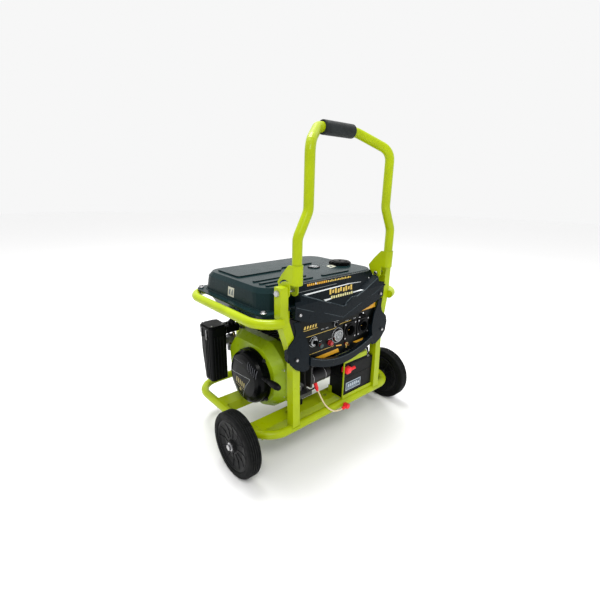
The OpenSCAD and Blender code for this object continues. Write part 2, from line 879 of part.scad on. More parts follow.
module fan_cover() {
    outline_a = [
        [144, 240, 40], [144, 352, 60], [92, 428, 40], [-118, 432, 70], [-196, 368, 70],
        [-196, 228, 60], [-120, 168, 40], [90, 168, 60]
    ];
    outline_b = [
        [110, 246, 40], [120, 344, 50], [72, 408, 40], [-104, 412, 60], [-172, 354, 60],
        [-172, 240, 50], [-110, 184, 40], [50, 184, 50]
    ];
    color(lime) difference() {
        union() {
            side_slab(rounded(outline_a), -225, -192);
            hull() {
                side_slab(rounded(outline_a, 4), -226, -225);
                side_slab(rounded(outline_b, 4), -262, -261);
            }
        }
        // hollow for the flywheel and its fan
        rod_x(-256, -190, crank_y, crank_z, 112);
        side_slab(rounded([
            [128, 260, 20], [128, 348, 30], [84, 410, 30], [0, 410, 30], [0, 200, 30], [60, 190, 30]
        ]), -222, -190);
        rod_x(-300, -250, crank_y, crank_z, 84);
    }
}

module recoil_housing() {
    f = recoil_front;
    b = recoil_back + 3;
    r = recoil_r;
    color(black) difference() {
        union() {
            turned_x([
                [0, f], [48, f + 0.5], [74, f + 2.5], [90, f + 7], [98.5, f + 14], [r + 3, f + 25],
                [r + 4, b - 8], [r + 7, b - 8], [r + 7, b], [r, b], [r - 1, f + 28],
                [94, f + 18], [86, f + 11.5], [72, f + 7], [48, f + 4.5], [12, f + 4.5],
                [12, f + 34], [6, f + 34], [6, f + 4.5], [0, f + 4.5]
            ], crank_y, crank_z);
            // rope guide
            rod_y(rope_x, crank_y - r - 12, crank_y - r + 14, rope_z, 9);
        }
        // cooling slots on the shoulder
        for (i = [0 : 4]) box(f - 1, f + 26, -90 - 9 * i, -86 - 9 * i, 336 - 4 * i, 364 - 4 * i);
        rod_y(rope_x, crank_y - r - 40, crank_y - r + 40, rope_z, 3.2);
    }
}

module recoil_pulley() {
    c = rope_x;
    color([0.75, 0.75, 0.7]) turned_x([
        [12 + run, c - 9], [42, c - 9], [42, c - 4], [29.5, c - 3], [29.5, c + 3], [42, c + 4],
        [42, c + 9], [12 + run, c + 9]
    ], crank_y, crank_z);
}

module starter_grip() {
    front = crank_y - recoil_r - 12.5;
    color(black) difference() {
        turned_y([
            [0, front - 78], [6, front - 77], [10, front - 72], [12.5, front - 60], [12, front - 36],
            [8.5, front - 14], [8, front], [0, front]
        ], rope_x, rope_z);
        rod_y(rope_x, front - 60, front + 5, rope_z, 2);
    }
}

module starter_rope() {
    front = crank_y - recoil_r - 12.5;
    color([0.8, 0.8, 0.75]) rod_y(rope_x, front - 60, front + pull + 26, rope_z, 2);
}

module crankshaft() {
    color(steel) difference() {
        union() {
            rod_x(-262, 232, crank_y, crank_z, 10);
            rod_x(-240, -140, crank_y, crank_z, 15);
            rod_x(-110, 190, crank_y, crank_z, 15);
            for (x = [-142, -112]) rod_x(x, x + 8, crank_y, crank_z, 42);
            rod_x(-136, -110, crank_y, crank_z + 26, 12);
        }
        // counterweights are cut away on the crankpin's side
        for (side = [-1, 1]) translate([-160, crank_y + side * 34 - 12, crank_z - 2]) cube([70, 24, 60]);
    }
}

module flywheel() {
    color([0.55, 0.56, 0.58]) difference() {
        union() {
            turned_x([
                [15, -238], [26, -238], [30, -226], [80, -220], [90, -234], [98, -234], [98, -202],
                [15, -202]
            ], crank_y, crank_z);
            for (i = [0 : 15]) translate([-252, crank_y, crank_z]) rotate([22.5 * i, 0, 0])
                translate([0, -2, 84]) cube([20, 4, 13]);
        }
    }
}

cyl_tilt = -55;

module cylinder_block() {
    color([0.72, 0.73, 0.74]) translate([-126, crank_y, crank_z]) rotate([cyl_tilt, 0, 0]) {
        translate([0, 0, 110]) for (i = [0 : 7]) translate([-48, -46, 12 * i]) cube([96, 92, 5]);
        translate([-38, -38, 101]) cube([76, 76, 104]);
        translate([-40, -36, 203]) cube([80, 72, 22]);
    }
    // spark plug and its cap
    color(black) translate([-126, crank_y, crank_z]) rotate([cyl_tilt, 0, 0]) {
        rod([0, 40, 190], [0, 78, 204], 9);
        rod([0, 74, 203], [0, 80, 236], 8);
    }
}

carb_x = -226;
carb_y = 172;

module carburettor() {
    color([0.6, 0.61, 0.6]) {
        box(carb_x - 20, carb_x + 20, carb_y - 15, carb_y + 15, 332, 372);
        rod([carb_x, carb_y, 333], [carb_x, carb_y, 306], 16);
        rod_x(-276, carb_x - 19, carb_y, 352, 13);
        rod([carb_x + 19, carb_y, 352], [-168, 150, 364], 13);
    }
}

module choke_lever() {
    color(black) {
        rod([carb_x, carb_y, 372.4], [carb_x, carb_y, 376], 7);
        box(carb_x - 3, carb_x + 3, carb_y, carb_y + 30, 372.6, 376);
        rod([carb_x, carb_y + 28, 372.6], [carb_x, carb_y + 28, 386], 5);
    }
}

module air_filter_box() {
    x0 = -344;
    x1 = -268;
    body = [[128, 206], [182, 206], [212, 392], [212, 408], [128, 408]];
    inside = [[132, 210], [180, 210], [208, 392], [208, 440], [132, 440]];
    color(black) {
        difference() {
            union() {
                intersection() {
                    slab(rounded_box(x0, x1, 128, 212, 12), 206, 408);
                    side_slab(body, x0 - 1, x1 + 1);
                }
                slab(rounded_box(x0 - 3, x1 + 3, 125, 215, 14), 402, 436);
                slab(rounded_box(x0 + 2, x1 - 2, 130, 210, 12), 436, 443);
                // upright flutes on the two outer walls
                for (x = [-326 : 13 : -287]) rod([x, 128, 214], [x, 128, 396], 2.5);
                for (y = [142 : 13 : 168]) rod([x0, y, 214], [x0, y, 396], 2.5);
            }
            intersection() {
                slab(rounded_box(x0 + 4, x1 - 4, 132, 208, 8), 210, 438);
                side_slab(inside, x0, x1);
            }
            rod_x(-285, -250, carb_y, 352, 13.2);
        }
        // clips, and the breather bracket above the carburettor
        for (y = [150, 190]) box(x0 - 5, x0 - 1, y - 6, y + 6, 392, 424);
        box(x1 + 1, -200, 142, 200, 396, 424);
        rod([-226, 160, 423], [-226, 160, 436], 14);
    }
}

muff_y = 158;
muff_z = 404;
outlet_r = 12;

module muffler() {
    color([0.5, 0.5, 0.5]) difference() {
        union() {
            turned_x([[0, -40], [46, -40], [58, -32], [58, 222], [46, 230], [0, 230]], muff_y, muff_z);
            rod_y(170, muff_y, 246, muff_z, outlet_r + 2.5);
            rod_y(170, 200, 228, muff_z, 22);
            rod([10, muff_y - 30, muff_z - 20], [-60, 120, 380], 15);
        }
        rod_y(170, muff_y + 20, 247, muff_z, outlet_r);
        turned_x([[0, -37], [45, -37], [55, -30], [55, 220], [45, 227], [0, 227]], muff_y, muff_z);
    }
    // perforated heat shield
    color([0.3, 0.3, 0.3]) difference() {
        rod_x(-20, 210, muff_y, muff_z, 68);
        rod_x(-21, 211, muff_y, muff_z, 66);
        box(-30, 220, 60, muff_y + 8, 300, 500);
        box(-30, 220, 100, 260, 300, muff_z - 40);
        rod_y(170, muff_y, 260, muff_z, 24);
        for (x = [10 : 24 : 140]) for (a = [20, 45, 70])
            translate([x, muff_y, muff_z]) rotate([a - 90, 0, 0]) cylinder(h = 80, r = 6);
    }
}

module alternator_housing() {
    r = alt_r;
    color([0.72, 0.73, 0.74]) difference() {
        union() {
            turned_x([
                [15 + run, -62], [70, -62], [r - 6, -40], [r, -30], [r, 20], [r - 4, 22], [r - 4, 160],
                [r, 162], [r, 210], [r - 10, 228], [10 + run, 228], [10 + run, 220], [r - 16, 220],
                [r - 8, 206], [r - 8, 152], [96, 152], [96, 28], [r - 8, 28], [r - 8, -28],
                [66, -54], [15 + run, -54]
            ], crank_y, crank_z);
            for (y = [-148, 40]) box(90, 150, y - 18, y + 18, 186, y > 0 ? 232 : 226);
        }
        turned_x([[0, -70], [15 + run, -70], [15 + run, -50], [0, -50]], crank_y, crank_z);
        turned_x([
            [0, -54], [66, -54], [r - 8, -28], [r - 8, 28], [96, 28], [96, 152], [r - 8, 152],
            [r - 8, 206], [r - 16, 220], [0, 220]
        ], crank_y, crank_z);
        for (i = [0 : 17]) translate([210, crank_y, crank_z]) rotate([20 * i, 0, 0])
            translate([0, -5, 40]) cube([30, 10, 42]);
    }
}

module stator() {
    color([0.45, 0.3, 0.2]) difference() {
        union() {
            rod_x(30, 150, crank_y, crank_z, 95.9);
            rod_x(14, 166, crank_y, crank_z, 90);
        }
        rod_x(0, 200, crank_y, crank_z, 64);
    }
}

module rotor() {
    color([0.5, 0.35, 0.2]) difference() {
        union() {
            rod_x(30, 150, crank_y, crank_z, 63);
            rod_x(18, 162, crank_y, crank_z, 52);
        }
        rod_x(0, 200, crank_y, crank_z, 15);
        for (side = [-1, 1]) translate([20, crank_y + side * 60 - 14, crank_z - 14]) cube([140, 28, 28]);
    }
}

module dipstick() {
    color([0.9, 0.75, 0.1]) {
        rod_y(dip_x, -162, -134, dip_z, 8);
        rod_y(dip_x, -176, -162, dip_z, 13);
        rod_y(dip_x, -134, -112, dip_z, 3);
    }
}

module engine_mounts() {
    color(black) for (p = [[-125, -158], [-125, 45], [120, -154], [120, 45]])
        translate([p[0], p[1], rail_top]) cylinder(h = 26, r = 13);
}

base_loop();
cross_rails();
upper_loop();
frame_posts();
axle_brackets();
wheel_axle();
hub_left();
hub_right();
tyre_left();
tyre_right();
support_leg();
rubber_feet();
handle_tube();
handle_grip();
handle_brackets();
hinge_bolts();
handle_latches();
fuel_tank();
tank_pan();
fuel_cap();
fuel_gauge();
cover_bolts();
panel_cover();
control_panel();
bow_bar();
corner_guards();
outlet_sockets();
breaker_lever();
ignition_switch();
ignition_key();
voltmeter();
panel_terminals();
reset_button();
battery_tray();
battery();
battery_strap();
battery_boot();
battery_cable();
loose_lead();
lead_boot_root();
lead_boot_end();
crankcase();
starter_motor();
fan_cover();
recoil_housing();
recoil_pulley();
starter_grip();
starter_rope();
crankshaft();
flywheel();
cylinder_block();
carburettor();
choke_lever();
air_filter_box();
muffler();
alternator_housing();
stator();
rotor();
dipstick();
engine_mounts();
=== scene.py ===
"""Looks of the portable generator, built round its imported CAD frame. Metres; +X right, -Y front, +Z up."""
from math import cos, pi, radians, sin, sqrt

import bmesh
import bpy
from mathutils import Matrix, Vector
from mathutils.bvhtree import BVHTree


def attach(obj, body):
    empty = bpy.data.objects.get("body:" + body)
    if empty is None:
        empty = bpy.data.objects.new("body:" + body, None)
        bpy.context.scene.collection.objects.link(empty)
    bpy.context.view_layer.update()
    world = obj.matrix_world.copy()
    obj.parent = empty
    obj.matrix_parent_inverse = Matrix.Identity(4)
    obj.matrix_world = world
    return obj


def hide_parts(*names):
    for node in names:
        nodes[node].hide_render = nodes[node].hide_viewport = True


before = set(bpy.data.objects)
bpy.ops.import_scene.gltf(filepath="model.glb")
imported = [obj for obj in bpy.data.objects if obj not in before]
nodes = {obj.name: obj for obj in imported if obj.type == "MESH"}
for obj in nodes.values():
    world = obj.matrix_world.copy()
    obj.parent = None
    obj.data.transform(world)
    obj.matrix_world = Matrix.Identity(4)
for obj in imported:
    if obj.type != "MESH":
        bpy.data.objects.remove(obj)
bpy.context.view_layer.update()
scene = bpy.context.scene

# centre lines of the CAD, as (y, z) in metres where they run along X
WHEEL_X, WHEEL = 0.419, (-0.165, 0.120)
GRIP = (-0.177, 1.150)
CRANK = (-0.050, 0.290)
STARTER_MOTOR = (-0.186, 0.276)
SILENCER_AXIS = (0.158, 0.404)


# ---------- camera ----------
def place_camera():
    yaw, pitch, roll = radians(41.164), radians(18.673), radians(0.975)
    ahead = Vector((sin(yaw) * cos(pitch), cos(yaw) * cos(pitch), -sin(pitch)))
    right = Vector((cos(yaw), -sin(yaw), 0))
    up = right.cross(ahead)
    r2 = right * cos(roll) + up * sin(roll)
    u2 = up * cos(roll) - right * sin(roll)
    data = bpy.data.cameras.new("camera")
    data.sensor_width = 36
    data.lens = 22.34
    data.shift_x = 0.0088
    data.shift_y = 0.0201
    cam = bpy.data.objects.new("camera", data)
    scene.collection.objects.link(cam)
    basis = Matrix((r2, u2, -ahead)).transposed()
    cam.matrix_world = Matrix.Translation((-0.9843, -1.1050, 0.9714)) @ basis.to_4x4()
    scene.camera = cam


place_camera()


# ---------- materials ----------
class Mat:
    """A node material: short calls that add nodes and give back the socket to use next."""

    def __init__(self, name):
        self.m = bpy.data.materials.new(name)
        self.m.use_nodes = True
        self.t = self.m.node_tree
        self.out = self.t.nodes["Principled BSDF"]
        self.pos = self.add("ShaderNodeTexCoord").outputs["Object"]

    def add(self, kind, links=None, **props):
        n = self.t.nodes.new(kind)
        for k, v in props.items():
            setattr(n, k, v)
        for k, v in (links or {}).items():
            self.put(n.inputs[k], v)
        return n

    def put(self, socket, value):
        if isinstance(value, bpy.types.NodeSocket):
            self.t.links.new(value, socket)
        elif isinstance(value, (tuple, list)) and socket.type == "RGBA":
            socket.default_value = (*value[:3], 1)
        else:
            socket.default_value = value

    def stretch(self, scale):
        return self.add("ShaderNodeMapping", {"Vector": self.pos, "Scale": scale}).outputs[0]

    def noise(self, scale, detail=4.0, rough=0.55, vec=None, warp=0.0):
        return self.add("ShaderNodeTexNoise", {
            "Vector": vec or self.pos, "Scale": scale, "Detail": detail, "Roughness": rough, "Distortion": warp
        }).outputs[0]

    def cells(self, scale, vec=None, feature="F1", rand=1.0):
        return self.add("ShaderNodeTexVoronoi", {
            "Vector": vec or self.pos, "Scale": scale, "Randomness": rand
        }, feature=feature).outputs["Distance"]

    def wave(self, scale, axis="Z"):
        links = {"Vector": self.pos, "Scale": scale, "Distortion": 0.0}
        n = self.add("ShaderNodeTexWave", links, wave_type="BANDS", wave_profile="SIN")
        n.bands_direction = axis
        return n.outputs["Fac"]

    def calc(self, op, a, b=0.0, clamp=False):
        n = self.add("ShaderNodeMath", operation=op, use_clamp=clamp)
        self.put(n.inputs[0], a)
        self.put(n.inputs[1], b)
        return n.outputs[0]

    def span(self, value, a, b, lo=0.0, hi=1.0):
        n = self.add(
            "ShaderNodeMapRange", {"Value": value, "From Min": a, "From Max": b, "To Min": lo, "To Max": hi}
        )
        return n.outputs["Result"]

    def mix(self, fac, a, b, blend="MIX"):
        n = self.add("ShaderNodeMix", data_type="RGBA", blend_type=blend)
        self.put(n.inputs["Factor"], fac)
        self.put(n.inputs["A"], a)
        self.put(n.inputs["B"], b)
        return n.outputs["Result"]

    def axis(self, which):
        return self.add("ShaderNodeSeparateXYZ", {0: self.pos}).outputs[which]

    def facing_up(self):
        n = self.add("ShaderNodeNewGeometry")
        return self.add("ShaderNodeSeparateXYZ", {0: n.outputs["Normal"]}).outputs[2]

    def bump(self, height, strength, distance, under=None):
        links = {"Height": height, "Strength": strength, "Distance": distance}
        if under is not None:
            links["Normal"] = under
        return self.add("ShaderNodeBump", links).outputs[0]

    def set(self, **kw):
        names = {
            "color": "Base Color", "rough": "Roughness", "metal": "Metallic", "normal": "Normal",
            "coat": "Coat Weight", "coat_rough": "Coat Roughness", "spec": "Specular IOR Level",
            "sheen": "Sheen Weight", "sheen_rough": "Sheen Roughness", "glass": "Transmission Weight", "ior": "IOR",
        }
        for k, v in kw.items():
            self.put(self.out.inputs[names[k]], v)
        return self.m


def scale_rgb(c, k):
    return tuple(min(1.0, x * k) for x in c)


def dusty(m, color, amount, dust=(0.32, 0.29, 0.24), up_from=0.35):
    """Colour with a film of dust on what faces up, broken up by noise."""
    film = m.calc("MULTIPLY", m.span(m.facing_up(), up_from, 1.0), m.span(m.noise(24, 6, 0.7), 0.35, 0.75), True)
    return m.mix(m.calc("MULTIPLY", film, amount), color, dust)


def painted(name, base, shade=0.82, rough=(0.24, 0.36), peel=0.12, dust=0.10, coat=0.35, scuffs=0.25, spec=0.3):
    """Powder coat: orange peel, slow tone changes, fine scuffs and settled dust."""
    m = Mat(name)
    tone = m.mix(m.span(m.noise(9, 3), 0.3, 0.7), base, scale_rgb(base, shade))
    scratch = m.cells(46, m.stretch((1.0, 1.0, 0.09)), "DISTANCE_TO_EDGE")
    scratch2 = m.cells(38, m.stretch((0.12, 0.8, 1.0)), "DISTANCE_TO_EDGE")
    line = m.calc(
        "MULTIPLY", m.span(m.calc("MINIMUM", scratch, scratch2), 0.012, 0.0), m.span(m.noise(17, 2), 0.52, 0.7),
        True
    )
    tone = m.mix(m.calc("MULTIPLY", line, scuffs), tone, scale_rgb(base, 1.5))
    tone = dusty(m, tone, dust)
    grain = m.noise(620, 2, 0.5)
    ripple = m.noise(150, 2, 0.5)
    r = m.span(m.noise(30, 5, 0.65), 0.3, 0.72, rough[0], rough[1])
    r = m.calc("ADD", r, m.calc("MULTIPLY", line, 0.25), True)
    n = m.bump(grain, peel * 0.6, 0.0004, m.bump(ripple, peel, 0.0012))
    return m.set(color=tone, rough=r, normal=n, coat=coat, coat_rough=0.16, spec=spec)


def moulded(name, base, rough=(0.38, 0.52), grain=900, depth=0.16, dust=0.22, light=1.9, coat=0.0, spec=0.5):
    """Injection-moulded plastic: fine spark-eroded grain, flow marks and rubbed, paler patches."""
    m = Mat(name)
    worn = m.span(m.noise(13, 6, 0.7, warp=0.6), 0.5, 0.8)
    tone = m.mix(worn, base, scale_rgb(base, light))
    tone = m.mix(m.span(m.noise(60, 2), 0.45, 0.8), tone, scale_rgb(base, 0.7))
    tone = dusty(m, tone, dust)
    leather = m.cells(grain, None, "F1")
    r = m.span(m.noise(40, 5, 0.6), 0.3, 0.75, rough[0], rough[1])
    n = m.bump(leather, depth, 0.0003, m.bump(m.noise(35, 3), 0.05, 0.002))
    return m.set(color=tone, rough=r, normal=n, coat=coat, coat_rough=0.2, spec=spec)


def cast(name, base, rough=(0.42, 0.62), depth=0.35, grime=0.55, metal=0.9):
    """Cast light metal: sandy skin, dark grime in patches."""
    m = Mat(name)
    dirt = m.span(m.noise(20, 8, 0.75), 0.48, 0.78)
    tone = m.mix(m.span(m.noise(85, 3), 0.3, 0.7), base, scale_rgb(base, 0.86))
    tone = m.mix(m.calc("MULTIPLY", dirt, grime), tone, (0.035, 0.032, 0.03))
    r = m.span(m.noise(120, 4), 0.3, 0.7, rough[0], rough[1])
    n = m.bump(m.noise(750, 3, 0.6), depth, 0.0005, m.bump(m.noise(110, 3), depth * 0.4, 0.001))
    return m.set(color=tone, rough=r, metal=metal, normal=n)


def plated(name, base, rough=(0.2, 0.36), lines=(1.0, 1.0, 14.0), metal=1.0, stain=(0.36, 0.29, 0.2), amount=0.22):
    """Zinc plated or brushed steel: drawn lines, a yellowish bloom, small dark specks."""
    m = Mat(name)
    draw = m.noise(160, 3, 0.6, m.stretch(lines))
    tone = m.mix(
        m.span(m.noise(55, 4), 0.45, 0.8), base, tuple(b * (1 - amount) + s * amount for b, s in zip(base, stain))
    )
    tone = m.mix(m.span(m.cells(260), 0.09, 0.03), tone, scale_rgb(base, 0.45))
    r = m.span(draw, 0.3, 0.7, rough[0], rough[1])
    return m.set(color=tone, rough=r, metal=metal, normal=m.bump(draw, 0.12, 0.0003))


def rubbery(name, base, rough=(0.62, 0.82), dust=0.3, sheen=0.15, grain=500, depth=0.25, spec=0.14):
    """Rubber: dull, bloomed grey in patches, dusty where it faces up or touches the ground."""
    m = Mat(name)
    bloom = m.span(m.noise(16, 7, 0.7), 0.42, 0.8)
    tone = m.mix(bloom, base, scale_rgb(base, 2.2))
    tone = dusty(m, tone, dust, up_from=0.1)
    r = m.span(m.noise(60, 5), 0.3, 0.7, rough[0], rough[1])
    n = m.bump(m.noise(grain, 4, 0.7), depth, 0.0004, m.bump(m.noise(90, 3), 0.15, 0.0008))
    return m.set(color=tone, rough=r, normal=n, sheen=sheen, sheen_rough=0.5, spec=spec)


def wheel_rubber():
    """Tyre: fine mould lines round the sidewall and dust rubbed into the tread."""
    m = Mat("tyre_tread_rubber")
    base = (0.0018, 0.0022, 0.0022)
    y = m.calc("SUBTRACT", m.axis(1), WHEEL[0])
    z = m.calc("SUBTRACT", m.axis(2), WHEEL[1])
    r2 = m.calc("SQRT", m.calc("ADD", m.calc("MULTIPLY", y, y), m.calc("MULTIPLY", z, z)))
    rings = m.calc("SINE", m.calc("MULTIPLY", r2, 2600.0))
    tread = m.span(r2, 0.1165, 0.1195)
    grit = m.span(m.noise(70, 8, 0.75), 0.36, 0.7)
    tone = m.mix(m.span(m.noise(18, 5), 0.4, 0.75), base, scale_rgb(base, 2.3))
    tone = m.mix(m.calc("MULTIPLY", m.calc("MULTIPLY", tread, grit), 0.3), tone, (0.04, 0.042, 0.042))
    tone = m.mix(m.calc("MULTIPLY", m.span(m.noise(40, 7), 0.55, 0.75), 0.03), tone, (0.1, 0.1, 0.09))
    r = m.span(m.noise(55, 5), 0.3, 0.72, 0.5, 0.74)
    n = m.bump(
        m.calc("MULTIPLY", rings, m.span(tread, 0.0, 1.0, 1.0, 0.0)), 0.16, 0.0004,
        m.bump(m.noise(420, 4), 0.2, 0.0004)
    )
    return m.set(color=tone, rough=r, normal=n, sheen=0.0, sheen_rough=0.5, spec=0.08)


def silencer_steel():
    """Thin steel that has been hot: straw, then blue bands by distance from the port, with soot near the pipe."""
    m = Mat("heat_tinted_steel")
    x = m.axis(0)
    heat = m.calc("ADD", m.span(x, 0.16, -0.06), m.span(m.noise(14, 5), 0.3, 0.7, -0.18, 0.18))
    ramp = m.add("ShaderNodeValToRGB", {"Fac": heat})
    stops = [
        (0.0, (0.42, 0.41, 0.4)), (0.35, (0.42, 0.36, 0.25)), (0.6, (0.36, 0.22, 0.1)), (0.8, (0.2, 0.13, 0.15)),
        (1.0, (0.13, 0.15, 0.22))
    ]
    while len(ramp.color_ramp.elements) < len(stops):
        ramp.color_ramp.elements.new(0.5)
    for e, (p, c) in zip(ramp.color_ramp.elements, stops):
        e.position = p
        e.color = (*c, 1)
    rust = m.span(m.noise(48, 8, 0.75), 0.58, 0.74)
    tone = m.mix(m.calc("MULTIPLY", rust, 0.7), ramp.outputs[0], (0.16, 0.062, 0.025))
    r = m.span(m.noise(90, 5), 0.3, 0.7, 0.34, 0.6)
    return m.set(color=tone, rough=r, metal=0.85, normal=m.bump(m.noise(300, 5), 0.2, 0.0005))


def wound():
    """Varnished laminations along the shaft and copper at their ends."""
    m = Mat("laminated_iron_copper")
    plates = m.wave(260, "X")
    x = m.axis(0)
    copper = m.calc("ADD", m.span(x, 0.031, 0.029), m.span(x, 0.149, 0.151), True)
    wires = m.noise(320, 3, 0.5, m.stretch((6.0, 1.0, 1.0)))
    tone = m.mix(
        copper, m.mix(plates, (0.12, 0.11, 0.105), (0.055, 0.05, 0.048)),
        m.mix(wires, (0.42, 0.17, 0.06), (0.16, 0.05, 0.02))
    )
    return m.set(
        color=tone, rough=m.span(wires, 0.3, 0.7, 0.3, 0.5), metal=0.7,
        normal=m.bump(m.calc("ADD", plates, wires), 0.3, 0.0006)
    )


def braided(name, base, dark):
    m = Mat(name)
    a = m.noise(900, 2, 0.5, m.stretch((1.0, 0.55, 1.0)))
    weave = m.cells(700, m.stretch((1.0, 0.5, 1.0)))
    tone = m.mix(m.span(weave, 0.1, 0.7), base, dark)
    tone = m.mix(m.span(a, 0.5, 0.8), tone, scale_rgb(base, 0.7))
    return m.set(
        color=tone, rough=m.span(a, 0.3, 0.7, 0.72, 0.92), normal=m.bump(weave, 0.5, 0.0006), sheen=0.3,
        sheen_rough=0.4
    )


def sheath(name, base, rough=(0.36, 0.5), dirt=0.35):
    """Cable sheath: soft gloss, faint print ribs and handling marks."""
    m = Mat(name)
    mark = m.span(m.noise(70, 7, 0.7), 0.5, 0.78)
    tone = m.mix(m.span(m.noise(30, 3), 0.3, 0.7), base, scale_rgb(base, 0.86))
    tone = m.mix(m.calc("MULTIPLY", mark, dirt), tone, scale_rgb(base, 0.42))
    return m.set(
        color=tone, rough=m.span(m.noise(120, 3), 0.3, 0.7, rough[0], rough[1]),
        normal=m.bump(m.noise(600, 3), 0.14, 0.0003)
    )


def printed(name, base, rough=0.34, wear=0.3, metal=0.0, flecks=520):
    """Screen print or foil: slightly uneven ink with rubbed spots."""
    m = Mat(name)
    rub = m.span(m.noise(110, 6, 0.75), 0.6, 0.82)
    tone = m.mix(m.span(m.noise(flecks, 3), 0.3, 0.7), base, scale_rgb(base, 0.84))
    tone = m.mix(m.calc("MULTIPLY", rub, wear), tone, (0.03, 0.035, 0.04))
    return m.set(
        color=tone, rough=m.span(m.noise(200, 2), 0.3, 0.7, rough, rough + 0.12), metal=metal,
        normal=m.bump(m.noise(flecks, 2), 0.05, 0.0002)
    )


LIME = painted("lime_powder_coat", (0.345, 0.435, 0.0), 0.82, (0.26, 0.38), 0.12, 0.03, 0.06, 0.2, 0.16)
TANK = painted("dark_green_tank_enamel", (0.004, 0.0145, 0.016), 1.25, (0.2, 0.3), 0.06, 0.006, 0.0, 0.06, 0.1)
DARK_STEEL = painted("black_enamel", (0.007, 0.007, 0.008), 1.6, (0.3, 0.45), 0.14, 0.03, 0.05, 0.15, 0.25)
ZINC = plated("zinc_plated_steel", (0.44, 0.44, 0.45))
BRIGHT = plated("bright_nickel", (0.3, 0.31, 0.32), (0.16, 0.28), (1.0, 12.0, 1.0), 1.0, (0.5, 0.48, 0.45), 0.1)
SLATE = moulded("slate_moulded_plastic", (0.0024, 0.0056, 0.0084), (0.24, 0.36), 1000, 0.1, 0.004, 1.3, 0.0, 0.09)
BLACK = moulded("black_moulded_plastic", (0.0018, 0.0022, 0.0026), (0.32, 0.46), 850, 0.16, 0.01, 1.6, 0.0, 0.09)
PANEL = moulded("panel_face_plastic", (0.0014, 0.0024, 0.0022), (0.3, 0.42), 1200, 0.06, 0.006, 1.4, 0.0, 0.1)
GLOSS_BLACK = moulded(
    "glossy_black_plastic", (0.0014, 0.0018, 0.002), (0.17, 0.25), 400, 0.04, 0.004, 1.4, 0.0, 0.07
)
RUBBER = rubbery("black_soft_rubber", (0.004, 0.004, 0.0045), (0.62, 0.82), 0.03, 0.02)
FOAM = rubbery("grip_foam_rubber", (0.009, 0.0115, 0.0125), (0.6, 0.8), 0.04, 0.08, 1100, 0.5)
TYRE = wheel_rubber()
RED = rubbery("red_terminal_rubber", (0.68, 0.016, 0.02), (0.36, 0.52), 0.03, 0.03, 700, 0.18, 0.25)
RED_GLOSS = moulded("red_knob_plastic", (0.3, 0.008, 0.01), (0.2, 0.32), 800, 0.06, 0.02, 1.4)
GREEN_GLOSS = moulded("green_knob_plastic", (0.002, 0.026, 0.024), (0.2, 0.32), 800, 0.06, 0.02, 1.5)
ALU = cast("cast_aluminium", (0.5, 0.51, 0.52))
ALU_DARK = cast("weathered_cast_aluminium", (0.15, 0.155, 0.16), (0.45, 0.65), 0.4, 0.75)
BRASS = plated("brass_contact", (0.6, 0.44, 0.16), (0.2, 0.32), (1.0, 8.0, 1.0), 1.0, (0.4, 0.25, 0.08), 0.3)
WOUND = wound()
SILENCER = silencer_steel()
ROPE = braided("starter_rope_braid", (0.62, 0.6, 0.54), (0.12, 0.12, 0.13))
CREAM = sheath("cream_cable_sheath", (0.72, 0.6, 0.36))
GREY = sheath("grey_cable_sheath", (0.5, 0.53, 0.52))
HOSE = rubbery("black_hose_rubber", (0.0035, 0.0035, 0.004), (0.45, 0.62), 0.015, 0.02, 900, 0.2)
YELLOW = moulded("yellow_dipstick_plastic", (0.62, 0.42, 0.02), (0.26, 0.4), 700, 0.1, 0.08, 1.1)
WHITE_INK = printed("white_ink", (0.72, 0.75, 0.77))
# grey ink for prints, also used for a painted highlight along the hood's top edge
GREY_INK_AND_HIGHLIGHT = printed("grey_ink_and_painted_highlight", (0.2, 0.22, 0.22))
GOLD_INK = printed("gold_foil_ink", (0.6, 0.42, 0.07), 0.3, 0.2)
DIM_GOLD_INK = printed("dim_gold_ink", (0.24, 0.19, 0.04), 0.34, 0.35)
# dim grey lines on the black recoil housing that stand for light on its fold and slot ribs: painted highlight
DIM_PAINTED_HIGHLIGHT = printed("dim_grey_painted_highlight", (0.055, 0.058, 0.07), 0.4, 0.3)
DIAL = printed("meter_dial_face", (0.15, 0.16, 0.17), 0.4, 0.05)
# lighter slate for the tubes along the cover's folds and edges: painted highlight
SLATE_EDGE_HIGHLIGHT = moulded("slate_painted_edge_highlight", (0.032, 0.047, 0.056), (0.2, 0.3), 1000, 0.08, 0.02, 2.0, 0.0, 0.3)
# darker copy of the lime paint for the fan cover: painted shade
SHADED_FAN_LIME = painted("fan_cover_lime_painted_shade", (0.25, 0.36, 0.002), 0.78, (0.24, 0.34), 0.1, 0.03, 0.08, 0.15, 0.2)
PALE_GOLD_INK = printed("pale_gold_ink", (0.62, 0.58, 0.26), 0.3, 0.2)
ORANGE_INK = printed("orange_ink", (0.66, 0.33, 0.01))
LABEL = printed("pale_label", (0.42, 0.5, 0.56), 0.28, 0.14)
CREAM_LABEL = printed("cream_label", (0.5, 0.5, 0.4), 0.3, 0.2)
BLUE_INK = printed("slate_blue_ink", (0.035, 0.06, 0.1), 0.3, 0.1)
WELD = painted("painted_weld_bead", (0.32, 0.405, 0.0), 0.75, (0.3, 0.45), 0.3, 0.03, 0.05, 0.1, 0.16)


def clear_glass():
    """Instrument window: clear, with fine wipe marks and a dusty edge."""
    m = Mat("instrument_window")
    wipe = m.noise(90, 4, 0.6, m.stretch((1.0, 1.0, 6.0)))
    m.set(color=m.mix(m.span(wipe, 0.4, 0.7), (0.9, 0.93, 0.93), (0.8, 0.84, 0.85)))
    return m.set(glass=0.94, ior=1.45, rough=m.span(wipe, 0.3, 0.7, 0.03, 0.12))


WINDOW = clear_glass()

